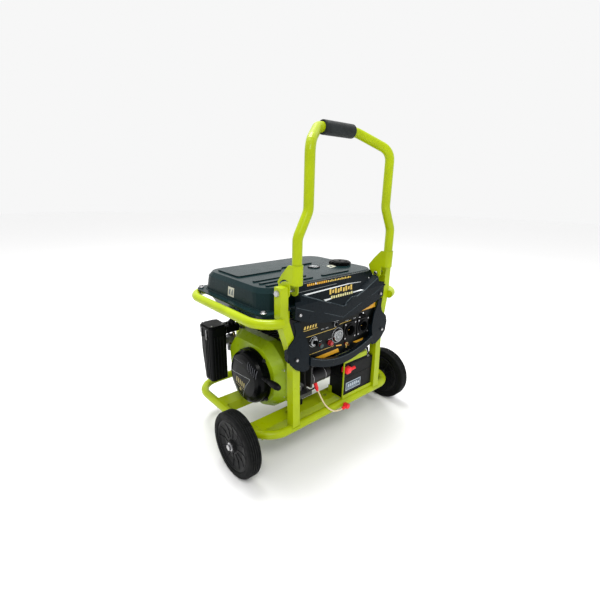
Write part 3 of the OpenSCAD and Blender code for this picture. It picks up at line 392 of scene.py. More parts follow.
CAD_LOOK = {
    LIME: "base_loop cross_rails upper_loop frame_posts axle_brackets support_leg "
    "handle_tube handle_brackets battery_tray battery_strap",
    SHADED_FAN_LIME: "fan_cover",
    ZINC: "wheel_axle hinge_bolts crankshaft",
    BRIGHT: "ignition_switch voltmeter",
    RUBBER: "rubber_feet engine_mounts handle_latches",
    FOAM: "handle_grip",
    BLACK: "hub_left hub_right fuel_cap fuel_gauge air_filter_box battery "
    "starter_grip choke_lever reset_button ignition_key",
    GLOSS_BLACK: "recoil_housing outlet_sockets breaker_lever",
    SLATE: "panel_cover bow_bar corner_guards",
    PANEL: "control_panel",
    TYRE: "tyre_left tyre_right",
    TANK: "fuel_tank tank_pan",
    ALU: "recoil_pulley carburettor flywheel",
    ALU_DARK: "crankcase cylinder_block alternator_housing",
    DARK_STEEL: "starter_motor cover_bolts",
    SILENCER: "muffler",
    WOUND: "stator rotor",
    RED: "battery_boot lead_boot_root lead_boot_end",
    RED_GLOSS: "panel_terminals",
    ROPE: "starter_rope",
    YELLOW: "dipstick",
    CREAM: "loose_lead",
    GREY: "battery_cable",
}
for look, names in CAD_LOOK.items():
    for n in names.split():
        me = nodes[n].data
        me.materials.clear()
        me.materials.append(look)

SOFT_EDGES = {
    "panel_cover": 0.003, "bow_bar": 0.0035, "corner_guards": 0.002, "frame_posts": 0.0025, "battery": 0.002,
    "handle_brackets": 0.0008, "fan_cover": 0.003, "outlet_sockets": 0.001, "air_filter_box": 0.0015,
    "control_panel": 0.001, "battery_tray": 0.0006, "battery_strap": 0.0006, "fuel_cap": 0.001, "fuel_tank": 0.0015,
}
for n, width in SOFT_EDGES.items():
    edge = nodes[n].modifiers.new("edge", "BEVEL")
    edge.width = width
    edge.segments = 2
    edge.limit_method = "ANGLE"
    edge.angle_limit = radians(40)
    edge.harden_normals = True


# ---------- mesh helpers ----------
def unit(v):
    return Vector(v).normalized()


def side_axes(axis):
    """Two directions square to an axis."""
    a = unit(axis)
    u = a.orthogonal().normalized() if abs(a.z) > 0.9 else Vector((0, 0, 1)).cross(a).normalized()
    return u, a.cross(u)


def smooth_path(pts, per=6):
    """More points on one smooth curve through the given ones."""
    p = [Vector(q) for q in pts]
    p = [p[0] * 2 - p[1]] + p + [p[-1] * 2 - p[-2]]
    out = []
    for i in range(1, len(p) - 2):
        for k in range(per):
            t = k / per
            a, b, c, d = p[i - 1], p[i], p[i + 1], p[i + 2]
            out.append(
                0.5 * (
                    (2 * b) + (c - a) * t + (2 * a - 5 * b + 4 * c - d) * t * t + (3 * b - a - 3 * c + d) * t ** 3
                )
            )
    out.append(p[-2])
    return out


class Build:
    """Collects vertices and faces of one piece."""

    def __init__(self):
        self.v, self.f = [], []

    def add(self, verts, faces):
        k = len(self.v)
        self.v += [Vector(p) for p in verts]
        self.f += [[i + k for i in f] for f in faces]
        return self

    def rings(self, rings, cap=(True, True), closed=False):
        n = len(rings[0])
        verts = [p for r in rings for p in r]
        last = len(rings) if closed else len(rings) - 1
        faces = []
        for i in range(last):
            j = (i + 1) % len(rings)
            for k in range(n):
                faces.append([i * n + k, i * n + (k + 1) % n, j * n + (k + 1) % n, j * n + k])
        if not closed and cap[0]:
            faces.append(list(range(n))[::-1])
        if not closed and cap[1]:
            faces.append([(len(rings) - 1) * n + k for k in range(n)])
        return self.add(verts, faces)

    def lathe(self, profile, at, axis, segs=32, turn=0.0, cap=(True, True)):
        """Profile of (radius, height) turned about an axis."""
        a, at = unit(axis), Vector(at)
        u, w = side_axes(axis)
        rings = []
        for r, h in profile:
            r = max(r, 1e-5)
            rings.append(
                [
                    at + a * h + (u * cos(t) + w * sin(t)) * r
                    for t in (turn + 2 * pi * k / segs for k in range(segs))
                ]
            )
        return self.rings(rings, cap)

    def prism(self, outline, at, u, v, h, chamfer=0.0004):
        """A flat outline in (u, v) raised by h along u x v, with a small chamfer on its top edge."""
        at, u, v = Vector(at), Vector(u), Vector(v)
        n = u.cross(v).normalized()
        c = min(chamfer, h * 0.5)
        inner = inset(outline, c)
        place = lambda pts, z: [at + u * p[0] + v * p[1] + n * z for p in pts]
        return self.rings([place(outline, 0), place(outline, h - c), place(inner, h)])

    def tube(self, pts, r, sides=14, closed=False, wobble=None):
        """A round tube along points; wobble(i) scales the radius of ring i."""
        pts = [Vector(p) for p in pts]
        n = len(pts)
        tangent = [
            unit(pts[(i + 1) % n] - pts[i - 1])
            if closed or 0 < i < n - 1 else unit(pts[min(i + 1, n - 1)] - pts[max(i - 1, 0)]) for i in range(n)
        ]
        side = side_axes(tangent[0])[0]
        rings = []
        for i, p in enumerate(pts):
            t = tangent[i]
            side = unit(side - t * side.dot(t))
            up = t.cross(side)
            k = r * (wobble(i) if wobble else 1.0)
            ring = []
            for j in range(sides):
                a = 2 * pi * j / sides
                ring.append(p + (side * cos(a) * k + up * sin(a) * k))
            rings.append(ring)
        return self.rings(rings, closed=closed)

    def done(self, name, material, body="frame", slot=None, angle=35):
        me = bpy.data.meshes.new(name)
        me.from_pydata([tuple(p) for p in self.v], [], self.f)
        me.validate()
        me.update()
        for p in me.polygons:
            p.use_smooth = True
        me.set_sharp_from_angle(angle=radians(angle))
        me.materials.append(material)
        ob = bpy.data.objects.new(name, me)
        scene.collection.objects.link(ob)
        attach(ob, body)
        return ob


def inset(outline, c):
    """Outline moved inwards by c; the outline runs anticlockwise."""
    out, n = [], len(outline)
    for i in range(n):
        a, b, d = Vector(outline[i - 1]), Vector(outline[i]), Vector(outline[(i + 1) % n])
        e1, e2 = (b - a), (d - b)
        if e1.length < 1e-9 or e2.length < 1e-9:
            out.append(tuple(b))
            continue
        e1.normalize()
        e2.normalize()
        n1, n2 = Vector((-e1.y, e1.x)), Vector((-e2.y, e2.x))
        m = n1 + n2
        if m.length < 1e-6:
            m = n1
        m.normalize()
        k = c / max(0.35, m.dot(n1))
        out.append((b.x + m.x * k, b.y + m.y * k))
    return out


def rounded(pts, r, n=5):
    """Anticlockwise outline with all its corners rounded."""
    out, m = [], len(pts)
    for i in range(m):
        a, b, d = Vector(pts[i - 1]), Vector(pts[i]), Vector(pts[(i + 1) % m])
        u, v = (a - b), (d - b)
        k = min(r, 0.45 * u.length, 0.45 * v.length)
        p, q = b + u.normalized() * k, b + v.normalized() * k
        for j in range(n + 1):
            t = j / n
            s = p * (1 - t) ** 2 + b * 2 * t * (1 - t) + q * t * t
            out.append((s.x, s.y))
    return out


def rect(x0, x1, y0, y1, r=0.002):
    return rounded([(x0, y0), (x1, y0), (x1, y1), (x0, y1)], r)


X, Y, Z = Vector((1, 0, 0)), Vector((0, 1, 0)), Vector((0, 0, 1))


def turns(n):
    """Angles of n even steps round a full turn."""
    return [2 * pi * k / n for k in range(n)]


def ring_x(x, centre, r, n):
    """Circle of n points about an axis along X; centre is (y, z), all in metres."""
    return [Vector((x, centre[0] + r * cos(a), centre[1] + r * sin(a))) for a in turns(n)]


def ring_y(y, x, z, r, n):
    """Circle of n points about an axis along Y, all in mm."""
    return [mm(x + r * cos(a), y, z + r * sin(a)) for a in turns(n)]


skins = {}


def skin(node):
    if node not in skins:
        me = nodes[node].data
        skins[node] = BVHTree.FromPolygons(
            [v.co.copy() for v in me.vertices], [list(p.vertices) for p in me.polygons]
        )
    return skins[node]


def subdivided(outline, step):
    """Triangles of a flat outline, cut on a grid of the given step."""
    bm = bmesh.new()
    face = bm.faces.new([bm.verts.new((x, y, 0)) for x, y in outline])
    xs = [p[0] for p in outline]
    ys = [p[1] for p in outline]
    for lo, hi, no in ((min(xs), max(xs), (1, 0, 0)), (min(ys), max(ys), (0, 1, 0))):
        k = int((hi - lo) / step)
        for i in range(1, k + 1):
            c = lo + (hi - lo) * i / (k + 1)
            co = (c, 0, 0) if no[0] else (0, c, 0)
            bmesh.ops.bisect_plane(bm, geom=bm.verts[:] + bm.edges[:] + bm.faces[:], plane_co=co, plane_no=no)
    bmesh.ops.triangulate(bm, faces=bm.faces[:])
    bm.verts.index_update()
    verts = [(v.co.x, v.co.y) for v in bm.verts]
    faces = [[v.index for v in f.verts] for f in bm.faces]
    bm.free()
    return verts, faces


def decal(name, outlines, node, origin, u, v, material, body="frame", lift=0.0003, step=0.008, slot=None):
    """Thin print on a CAD skin, also used for painted highlights: outlines in (u, v) are cast along -(u x v) on to
    the node, then lifted.
    """
    u, v, origin = Vector(u), Vector(v), Vector(origin)
    n = u.cross(v).normalized()
    tree = skin(node)
    b = Build()
    for o in outlines:
        flat, faces = subdivided(o, step)
        pts = []
        for x, y in flat:
            start = origin + u * x + v * y
            hit, normal, _, _ = tree.ray_cast(start, -n, 2.0)
            if hit is None:
                hit, normal, _, _ = tree.find_nearest(start)
            if normal.dot(n) < 0:
                normal = -normal
            pts.append(hit + normal * lift)
        b.add(
            pts, [f if (pts[f[1]] - pts[f[0]]).cross(pts[f[2]] - pts[f[0]]).dot(n) > 0 else f[::-1] for f in faces]
        )
    return b.done(name, material, body, slot, angle=80)


def hexbolt(b, at, axis, af, h, washer=0.0, turn=0.3):
    """Hexagon head with a chamfered top, over a washer."""
    if washer:
        b.lathe([(washer, 0), (washer, 0.0012), (washer - 0.0006, 0.0016), (af * 0.3, 0.0016)], at, axis, 28)
    r = af / sqrt(3)
    b.lathe(
        [(r, 0.0014), (r, h - 0.0012), (r * 0.9, h - 0.0002), (r * 0.5, h), (r * 0.3, h - 0.0004)], at, axis, 6,
        turn
    )


def screw(b, at, axis, r, h):
    """Pan head with a round sunk drive."""
    b.lathe(
        [
            (r, 0), (r, h * 0.35), (r * 0.86, h * 0.75), (r * 0.55, h * 0.97), (r * 0.32, h), (r * 0.2, h * 0.45),
            (r * 0.05, h * 0.35)
        ],
        at, axis, 24
    )


# ---------- cords ----------
MM = 0.001
lead_path = [
    (-78, -206, 229), (-77, -209, 224), (-76, -213, 218), (-74, -218, 209), (-72, -224, 198),
    (-70, -231, 187), (-68, -239, 176), (-65, -248, 167), (-61, -257, 160), (-55, -264, 154),
    (-47, -269, 149), (-38, -272, 146), (-28, -274, 144), (-17, -275, 143), (-6, -276, 143), (2, -276, 144),
]
power_path = [
    (166, -222, 367.5), (166.2, -222.3, 362), (167, -223.2, 356), (168.6, -224.8, 350), (171, -226.8, 344),
    (174, -229, 338), (177.2, -231, 332), (180.3, -232.5, 326), (183, -233.4, 320), (185.4, -233.6, 314),
    (187.2, -233.2, 308), (188, -232.5, 301.5),
]
hose_path = [
    (-150, -212, 367.5), (-150, -211.8, 358), (-150, -211.5, 345), (-149.5, -211, 330), (-148.5, -210, 310),
    (-147, -209.5, 292), (-145, -209, 276), (-141.5, -208, 262), (-136, -207, 250), (-128.5, -206, 241.5),
    (-119, -205.5, 236.5), (-108, -205, 234.5), (-98, -204.5, 234.5), (-89, -204, 236),
]
plug_path = [
    (-126, 189, 360), (-127, 198, 364), (-133, 207, 370), (-145, 212, 378), (-160, 209, 386), (-172, 199, 392),
    (-180, 184, 396), (-183, 164, 398), (-183, 140, 400), (-183, 118, 403), (-184, 100, 408), (-187, 86, 412),
    (-191.5, 78, 414),
]
fuel_path = [
    (-180, 200, 522), (-180, 201, 505), (-180, 203, 485), (-181, 205, 462), (-184, 206, 440), (-188, 206, 418),
    (-192, 204, 398), (-196, 200, 380), (-199, 194, 364), (-201, 187, 351), (-205.5, 180, 344),
]


def cable(name, pts, d, material, slot, **facts):
    """A smooth tube along a route in mm."""
    path = smooth_path([Vector(p) * MM for p in pts], 5)
    ob = Build().tube(path, d / 2, 16).done(name, material, "frame", slot, angle=60)
    return ob


lead = cable("starter_lead", lead_path, 0.006, CREAM, "cream_cable", far_end="connector", stiffness="stiff",
             lay="loose", with_pieces=["lead_boot_root", "lead_boot_end"])
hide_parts("loose_lead")
power = cable(
    "battery_lead", power_path, 0.006, GREY, "grey_cable", far_end="object", stiffness="medium", lay="hanging"
)
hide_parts("battery_cable")
cable("starter_hose", hose_path, 0.006, HOSE, "black_rubber", far_end="object", stiffness="medium", lay="hanging")
cable(
    "spark_plug_lead", plug_path, 0.006, HOSE, "black_rubber", far_end="object", stiffness="medium", lay="hanging"
)
cable("fuel_hose", fuel_path, 0.008, HOSE, "black_rubber", far_end="object", stiffness="medium", lay="hanging")

FRONT, LEFT, UP, DOWN, BACK, RIGHT = -Y, -X, Z, -Z, Y, X


def mm(*p):
    return Vector(p) * MM


def quad(x0, z0, x1, z1):
    return [(x0 * MM, z0 * MM), (x1 * MM, z0 * MM), (x1 * MM, z1 * MM), (x0 * MM, z1 * MM)]


def line(points, w):
    """Flat stripe of width w along points, all in mm, as one outline; w may be (start, end)."""
    w0, w1 = w if isinstance(w, tuple) else (w, w)
    n = len(points)
    left, right = [], []
    for i, p in enumerate(points):
        a, b = Vector(points[max(i - 1, 0)]), Vector(points[min(i + 1, n - 1)])
        t = (b - a).normalized()
        k = (w0 + (w1 - w0) * i / (n - 1)) / 2
        left.append((Vector(p) + Vector((-t.y, t.x)) * k) * MM)
        right.append((Vector(p) - Vector((-t.y, t.x)) * k) * MM)
    return [tuple(p) for p in right + left[::-1]]


def disc(x, z, r, n=28):
    return [((x + r * cos(2 * pi * k / n)) * MM, (z + r * sin(2 * pi * k / n)) * MM) for k in range(n)]


def arc_band(x, z, r, w, a0, a1, n=24):
    pts = [
        (x + r * cos(radians(a0 + (a1 - a0) * k / n)), z + r * sin(radians(a0 + (a1 - a0) * k / n)))
        for k in range(n + 1)
    ]
    return line(pts, w)


def slanted(x0, z0, x1, z1, lean):
    return [(x0 * MM, z0 * MM), (x1 * MM, z0 * MM), ((x1 + lean) * MM, z1 * MM), ((x0 + lean) * MM, z1 * MM)]


# ---------- prints on the hood and the panel, with a painted highlight on the hood's top edge ---
SLOPE = Vector((0, 43, 104)).normalized()
hood_at = mm(0, -246, 558) + X.cross(SLOPE) * 0.04
ink = dict(slot="black_plastic", lift=0.0004)
hood = ("panel_cover", hood_at, X, SLOPE)
decal("hood_white_lines", [
    line([(-168, 72), (-60, 74.5), (61, 77)], (5, 3)), line([(61, 77), (128, 74)], (2.4, 1.2)),
    line([(-85, 38), (-50, 39)], (7, 4)),
    line([(70, 42), (110, 43)], (4, 5)),
], *hood, WHITE_INK, **ink)
decal(
    "hood_pale_bars", [slanted(-50 + 12 * i, 38, -42 + 12 * i, 48 - (i % 3), 3) for i in range(10)], *hood,
    PALE_GOLD_INK, **ink
)
gold = [slanted(-52 + 14 * i, 54 + 3 * (i % 3 == 1), -43 + 14 * i, 72 - 4 * (i % 2), 6) for i in range(9)]
decal("hood_gold_bars", gold, *hood, GOLD_INK, **ink)
decal(
    "hood_edge_orange", [slanted(-146 + 9 * i, 98.5, -140 + 9 * i, 106, 2) for i in range(11)], *hood, ORANGE_INK,
    **ink
)
decal(
    "hood_edge_gold", [slanted(-46 + 9 * i, 98.5, -40 + 9 * i, 105 - 2 * (i % 2), 2) for i in range(14)], *hood,
    GOLD_INK, **ink
)
# two grey lines on the hood; the long one along its top edge is a painted highlight
decal(
    "hood_grey_line_and_edge_highlight", [line([(-190, 84), (-5, 87)], (1.4, 1.4)), line([(-160, 110), (188, 110)], 1.2)], *hood,
    GREY_INK_AND_HIGHLIGHT, **ink
)

panel = ("control_panel", mm(0, -300, 0), X, Z)
shape = lambda pts: [(x * MM, z * MM) for x, z in pts]
decal("panel_orange", [
    shape([(92, 514), (205, 515), (202, 538)]), shape([(-141, 388), (-94, 373), (2, 375), (-5, 391)]),
    shape([(-18, 407), (-16, 402), (14, 397), (14, 402)]), shape([(79, 395), (102, 385), (140, 387), (144, 396)]),
], *panel, ORANGE_INK, **ink)
marks = [
    line([(-171, 478), (-31, 478), (3, 489), (60, 490)], 1.6), line([(-162, 407), (-29, 408)], 1.6),
    slanted(38, 381, 44, 389, 2)
]
marks += [
    slanted(-184 + 13 * i, 508, -177 + 13 * i, 519, 3) for i in range(5)
] + [line([(-186, 503), (-118, 503)], 1.8)]
decal("panel_gold", marks, *panel, GOLD_INK, **ink)
fine = [
    arc_band(-136, 452, 19, 0.9, 200, 340), arc_band(-136, 452, 19, 0.9, 20, 160),
    arc_band(-12, 446, 29, 0.9, 0, 359)
]
fine += [
    line([(-62, 441), (-44, 441)], 0.9), line([(-114, 446), (-96, 446)], 0.9), line([(-38, 505), (-10, 505)], 0.9)
]
fine += [line([(x, z), (x + 14, z)], 0.9) for x, z in [(-100, 490), (-78, 490), (30, 494), (74, 494)]]
decal("panel_fine_print", fine, *panel, WHITE_INK, **ink)

# folds and edges of the front cover and the bow bar, traced by lighter slate tubes: painted highlights
def on_skin(node, points, lift=0.0006):
    """Points (x, z) in mm cast along +Y on to the front of a node."""
    out = []
    for x, z in points:
        hit = skin(node).ray_cast(mm(x, -400, z), Y, 1.0)[0]
        if hit:
            out.append(hit + Vector((0, -lift, 0)))
    return out


def along(points, n):
    out = []
    for a, c in zip(points, points[1:]):
        out += [(a[0] + (c[0] - a[0]) * k / n, a[1] + (c[1] - a[1]) * k / n) for k in range(n)]
    return out + [points[-1]]


b = Build()
for s in (-1, 1):
    b.tube(on_skin("panel_cover", along([(s * 2, 561.5), (s * 104, 599), (s * 208, 638)], 12)), 0.0017, 8)
    b.tube(on_skin("bow_bar", [(s * x, 353 + 0.00146 * x * x + 13.2) for x in range(2, 168, 6)]), 0.0014, 8)
for pts in (
    [(-232, 601), (-190, 585), (-150, 571)], [(160, 574), (196, 588), (224, 604)],
    [(-100, 556), (0, 519), (100, 556)]
):
    b.tube(on_skin("panel_cover", along(pts, 8), 0.0001), 0.0009, 8)
b.done("cover_edge_highlights", SLATE_EDGE_HIGHLIGHT, slot="slate_plastic")
b = Build()
for x, z, r in ((-103, 653, 3.6), (180, 634, 3.6)):
    hit, normal, _, _ = skin("panel_cover").ray_cast(mm(x, -400, z), Y, 1.0)
    screw(b, hit, normal, r * MM, 0.0016)
b.done("hood_screws", ZINC, slot="plated_steel")

# ---------- fittings of the panel ----------
OUTLETS_X, OUTLET_Z = (55, 132), 451
b = Build()
for x in OUTLETS_X:
    for sx in (-1, 1):
        for sz in (-1, 1):
            b.prism(disc(x + 28 * sx, OUTLET_Z + 28 * sz, 3.2, 16), mm(0, -242.1, 0), X, Z, 0.0011, 0.0004)
b.done("outlet_screws", ZINC, slot="plated_steel")
b = Build()
for x in OUTLETS_X:
    for a in (90, 210, 330):
        cx, cz = x + 9 * cos(radians(a)), OUTLET_Z + 9 * sin(radians(a))
        b.lathe(
            [(0.0024, 0), (0.0024, 0.0012), (0.0017, 0.0012), (0.0015, -0.006)], mm(cx, -227.6, cz), FRONT, 20,
            cap=(True, False)
        )
b.done("outlet_contacts", BRASS, slot="plated_steel")
b = Build()
for x in OUTLETS_X:
    b.tube(ring_y(-245.4, x, OUTLET_Z, 23.5, 40), 0.0011, 8, closed=True)
    for k in range(3):
        t = radians(90 + 120 * k)
        b.prism(
            rect(-0.0025, 0.0025, -0.0012, 0.0012, 0.0005), mm(x + 17 * cos(t), -227.2, OUTLET_Z + 17 * sin(t)), X,
            Z, 0.004, 0.0004
        )
b.done("outlet_face_rings", GLOSS_BLACK, slot="black_plastic")

# meter: dial, ticks, needle and window
b = Build().prism(disc(-12, 446, 18.2, 36), mm(0, -241.2, 0), X, Z, 0.0006, 0.0002)
b.done("meter_dial", DIAL, slot="plated_steel")
b = Build()
for k in range(11):
    t = radians(150 - 12 * k)
    w = 1.0 if k % 5 == 0 else 0.5
    b.prism(
        line(
            [
                (-12 + 11 * cos(t), 442 + 11 * sin(t)),
                (-12 + (15.5 if k % 5 == 0 else 14) * cos(t), 442 + (15.5 if k % 5 == 0 else 14) * sin(t))
            ],
            w
        ),
        mm(0, -241.85, 0), X, Z, 0.0002, 0.00005
    )
b.prism(line([(-12, 439), (-19, 455)], (1.6, 0.5)), mm(0, -242.4, 0), X, Z, 0.0004, 0.0001)
b.prism(disc(-12, 439, 3.4, 20), mm(0, -242.2, 0), X, Z, 0.0012, 0.0004)
b.done("meter_scale_and_needle", WHITE_INK, slot="black_plastic")
Build().lathe(
    [(0.0184, 0), (0.0184, 0.0006), (0.012, 0.0012), (0.0, 0.0014)], mm(-12, -244.2, 446), FRONT, 36
).done("meter_window", WINDOW, slot="plated_steel")

# collars of the switch and the button, ribs and caps of the knobs
b = Build()
b.lathe(
    [(0.0146, 0), (0.0146, 0.0014), (0.0128, 0.0024), (0.0112, 0.0024), (0.0108, 0.001)], mm(-136, -243.6, 452),
    FRONT, 36, cap=(True, False)
)
b.lathe(
    [(0.0105, 0), (0.0105, 0.002), (0.0092, 0.003), (0.0084, 0.003), (0.0084, 0)], mm(-24, -238, 493), FRONT, 32,
    cap=(False, False)
)
b.done("switch_collars", BRIGHT, slot="plated_steel")
for name, x, z, mat in (("red_knob_ribs", -53, 427, RED_GLOSS), ("green_knob_ribs", -105, 432, GREEN_GLOSS)):
    b = Build()
    for k in range(16):
        t = 2 * pi * k / 16
        b.tube([mm(x + 8 * cos(t), y, z + 8 * sin(t)) for y in (-242.2, -246, -249.6)], 0.0009, 6)
    b.lathe(
        [(0.0082, 0), (0.0082, 0.0006), (0.0066, 0.0014), (0.003, 0.0016), (0.001, 0.0012)], mm(x, -250, z), FRONT,
        32
    )
    b.lathe(
        [(0.0102, 0), (0.0102, 0.0035), (0.0092, 0.0045), (0.0082, 0.0045)], mm(x, -238.2, z), FRONT, 32,
        cap=(True, False)
    )
    b.done(name, mat, slot="terminal_plastic")
b = Build()
hexbolt(b, mm(38, -242.2, 399), FRONT, 0.0095, 0.0042, 0.0075)
b.lathe([(0.0032 - 0.0003 * (k % 2), 0.001 * k) for k in range(11)], mm(38, -244, 399), FRONT, 20)
b.done("earth_nut", BRASS, slot="plated_steel")
Build().prism(
    rect(-0.0015, 0.0015, -0.005, 0.005, 0.0008), mm(-136, -262.4, 452), X, Z, 0.0006, 0.0002
).done("key_grip_rib", BLACK, "key", "black_plastic")
b = Build()
for k in range(4):
    b.prism(
        rect(-0.009 + 0.006 * k, -0.0075 + 0.006 * k, -0.004, 0.004, 0.0004), mm(123, -247.2, 497),
        unit((cos(radians(20)), -sin(radians(20)), 0)), Z, 0.0006, 0.0002
    )
b.done("breaker_ribs", GLOSS_BLACK, "breaker", "black_plastic")

# screws of the cover and the guards
b = Build()
for s in (-1, 1):
    for x, y, z in ((214, -254, 572), (232, -262.8, 418)):
        screw(b, mm(s * x, y - 0.1, z), FRONT, 0.0052, 0.0026)
b.done("cover_screw_heads", ZINC, slot="plated_steel")

# ---------- fuel tank ----------
b = Build()
b.prism(disc(95, 12, 20.6, 36), mm(0, 0, 650.6), X, Y, 0.0006, 0.0002)
b.done("gauge_dial", DIAL, slot="plated_steel")
b = Build()
for k in range(9):
    t = radians(160 - 17.5 * k)
    b.prism(
        line(
            [(95 + 13 * cos(t), 6 + 13 * sin(t)), (95 + 17 * cos(t), 6 + 17 * sin(t))], 1.1 if k % 4 == 0 else 0.6
        ),
        mm(0, 0, 651.3), X, Y, 0.0002, 0.00005
    )
b.prism(line([(95, 3), (85, 16)], (1.8, 0.6)), mm(0, 0, 651.6), X, Y, 0.0004, 0.0001)
b.prism(disc(95, 3, 3.6, 20), mm(0, 0, 651.4), X, Y, 0.001, 0.0004)
b.done("gauge_scale_and_needle", WHITE_INK, slot="black_plastic")
Build().lathe(
    [(0.0208, 0), (0.0208, 0.0006), (0.014, 0.0012), (0.0, 0.0015)], mm(95, 12, 652.2), UP, 36
).done("gauge_window", WINDOW, slot="black_plastic")
b = Build()
for k in range(36):
    t = 2 * pi * k / 36
    b.tube([mm(232 + 29.6 * cos(t), -10 + 29.6 * sin(t), z) for z in (663.6, 664.6, 665.6)], 0.0008, 6)
b.lathe(
    [(0.034, 0), (0.034, 0.001), (0.0325, 0.0014), (0.031, 0.0008)], mm(232, -10, 663.4), UP, 48, cap=(True, False)
)
b.lathe([(0.006, 0), (0.006, 0.0016), (0.004, 0.0022), (0.0015, 0.0022)], mm(232, -10, 665.4), UP, 24)
b.done("fuel_cap_rim", BLACK, "filler_cap", "black_plastic")
tank_end = ("fuel_tank", mm(-400, 0, 0), -Y, Z)
tank_top = ("fuel_tank", mm(0, 0, 900), X, Y)
decal("tank_end_label", [quad(-47, 588, -7, 622)], *tank_end, CREAM_LABEL, slot="tank_paint", lift=0.0004)
decal(
    "tank_end_label_marks",
    [slanted(-41, 594, -33, 614, 3), slanted(-26, 594, -22, 608, 3), quad(-18, 594, -13, 616)], *tank_end, BLUE_INK,
    slot="tank_paint", lift=0.0006
)
decal(
    "tank_top_label", [[(x * MM, y * MM) for x, y in ((140, -43), (182, -36), (192, 4), (154, -4))]], *tank_top,
    CREAM_LABEL, slot="tank_paint", lift=0.0004
)
decal(
    "tank_top_label_mark", [[(x * MM, y * MM) for x, y in ((154, -32), (166, -30), (172, -12), (160, -12))]],
    *tank_top, BLUE_INK, slot="tank_paint", lift=0.0007
)
decal(
    "tank_top_lines",
    [line([(149, -2), (157, 66)], 1.6), line([(200, 18), (206, 60)], 1.6), line([(178, 8), (182, 40)], 1.2)],
    *tank_top, GREY_INK_AND_HIGHLIGHT, slot="tank_paint", lift=0.0004
)
b = Build()
seam = rounded([(-0.306, -0.176), (0.306, -0.176), (0.306, 0.246), (-0.306, 0.246)], 0.058, 10)
b.tube([Vector((x, y, 0.5785)) for x, y in seam], 0.0021, 8, closed=True)
b.done("tank_seam", TANK, slot="tank_paint")
b = Build()
for s in (-1, 1):
    for y in (-181, 242):
        hexbolt(b, mm(s * 311, y, 580.2), UP, 0.0135, 0.0072, 0.0115, 0.4 * s)
b.done("tank_rim_bolt_heads", ZINC, slot="plated_steel")
b = Build()
b.lathe(
    [(0.011, 0), (0.011, 0.006), (0.007, 0.008), (0.007, 0.012), (0.0045, 0.012), (0.0045, 0.022)],
    mm(-180, 200, 522.5), DOWN, 24
)
b.tube([mm(-186, 200, 514), mm(-200, 200, 512), mm(-206, 200, 508)], 0.0028, 10)
b.done("fuel_tap", BRASS, slot="plated_steel")

# ---------- frame: weld beads and plugs ----------
def saddle(x, y, half, tube_y, tube_z, up=1, r=0.016):
    """Path round a square post where it meets a tube along X."""
    side = [(-1, -1), (1, -1), (1, 1), (-1, 1)]
    out = []
    for i in range(4):
        a, c = side[i], side[(i + 1) % 4]
        for k in range(8):
            px, py = x + half * (a[0] + (c[0] - a[0]) * k / 8), y + half * (a[1] + (c[1] - a[1]) * k / 8)
            d = min(abs(py - tube_y), r * 0.97)
            out.append(Vector((px, py, tube_z + up * (sqrt(r * r - d * d) + 0.0006))))
    return out


b = Build()
bead = lambda i: 1.0 + 0.16 * sin(i * 2.1)
for s in (-1, 1):
    b.tube(saddle(s * 0.2275, -0.2443, 0.0163, -0.246, 0.144), 0.0024, 8, True, bead)
    b.tube(saddle(s * 0.120, 0.2575, 0.0163, 0.246, 0.144), 0.0024, 8, True, bead)
    b.tube(saddle(s * 0.120, 0.2575, 0.0163, 0.269, 0.556, -1), 0.0024, 8, True, bead)
    b.tube(
        [
            Vector(
                (
                    s * 0.150 + 0.0125 * cos(t), 0.246 + 0.0125 * sin(t),
                    0.144 - sqrt(0.016 ** 2 - (0.0125 * sin(t)) ** 2) - 0.0006
                )
            )
            for t in turns(24)
        ],
        0.0022, 8, True, bead
    )
    for y0, y1 in ((-0.207, -0.143), (0.013, 0.077)):
        b.tube([Vector((s * 0.3415, y0 + (y1 - y0) * k / 16, 0.1585)) for k in range(17)], 0.0024, 8, False, bead)
    for y in (-0.183, -0.147):
        b.tube([Vector((s * 0.3185, y, 0.157 - 0.002 * k)) for k in range(9)], 0.0017, 8, False, bead)
b.done("weld_beads", WELD, slot="lime_paint", angle=80)

# ---------- wheels ----------
for s, body in ((-1, "wheel_left"), (1, "wheel_right")):
    b = Build()
    for face in (-1, 1):
        for r, t in ((0.1035, 0.0009), (0.0965, 0.0007)):
            b.tube(ring_x(s * WHEEL_X + face * 0.02335, WHEEL, r, 72), t, 6, True)
    b.done("tyre_side_rings_" + ("left" if s < 0 else "right"), TYRE, body, "tyre_rubber")
    b = Build()
    for k in range(12):
        a = 2 * pi * k / 12
        for face in (-1, 1):
            b.tube(
                [
                    Vector((s * WHEEL_X + face * x, WHEEL[0] + r * cos(a), WHEEL[1] + r * sin(a)))
                    for r, x in ((0.030, 0.0165), (0.05, 0.0138), (0.072, 0.0162), (0.083, 0.0205))
                ],
                0.0024, 8
            )
    b.done("hub_webs_" + ("left" if s < 0 else "right"), BLACK, body, "black_plastic")

# ---------- handle ----------
b = Build()
for s in (-1, 1):
    b.tube(ring_x(s * 0.0695, GRIP, 0.0205, 40), 0.0018, 8, True)
for k in range(11):
    b.tube(ring_x(-0.05 + 0.01 * k, GRIP, 0.0215, 40), 0.0008, 6, True)
b.done("grip_rings", FOAM, "handle", "black_rubber")
b = Build()
for s in (-1, 1):
    b.tube(
        [
            Vector((s * 0.234 + 0.0166 * cos(a), -0.254 + 0.0166 * sin(a), 0.7402))
            for a in (pi + pi * k / 24 for k in range(25))
        ],
        0.0016, 8, False, bead
    )
b.done("handle_welds", WELD, "handle", "lime_paint", angle=80)
b = Build()
for s in (-1, 1):
    hexbolt(b, mm(s * 287.5, -222, 651), X * s, 0.0175, 0.0065, 0.0105, 0.2)
    hexbolt(b, mm(s * 211.5, -222, 651), X * -s, 0.0145, 0.0055, 0.0, 0.1)
b.done("hinge_bolt_heads", ZINC, slot="plated_steel")

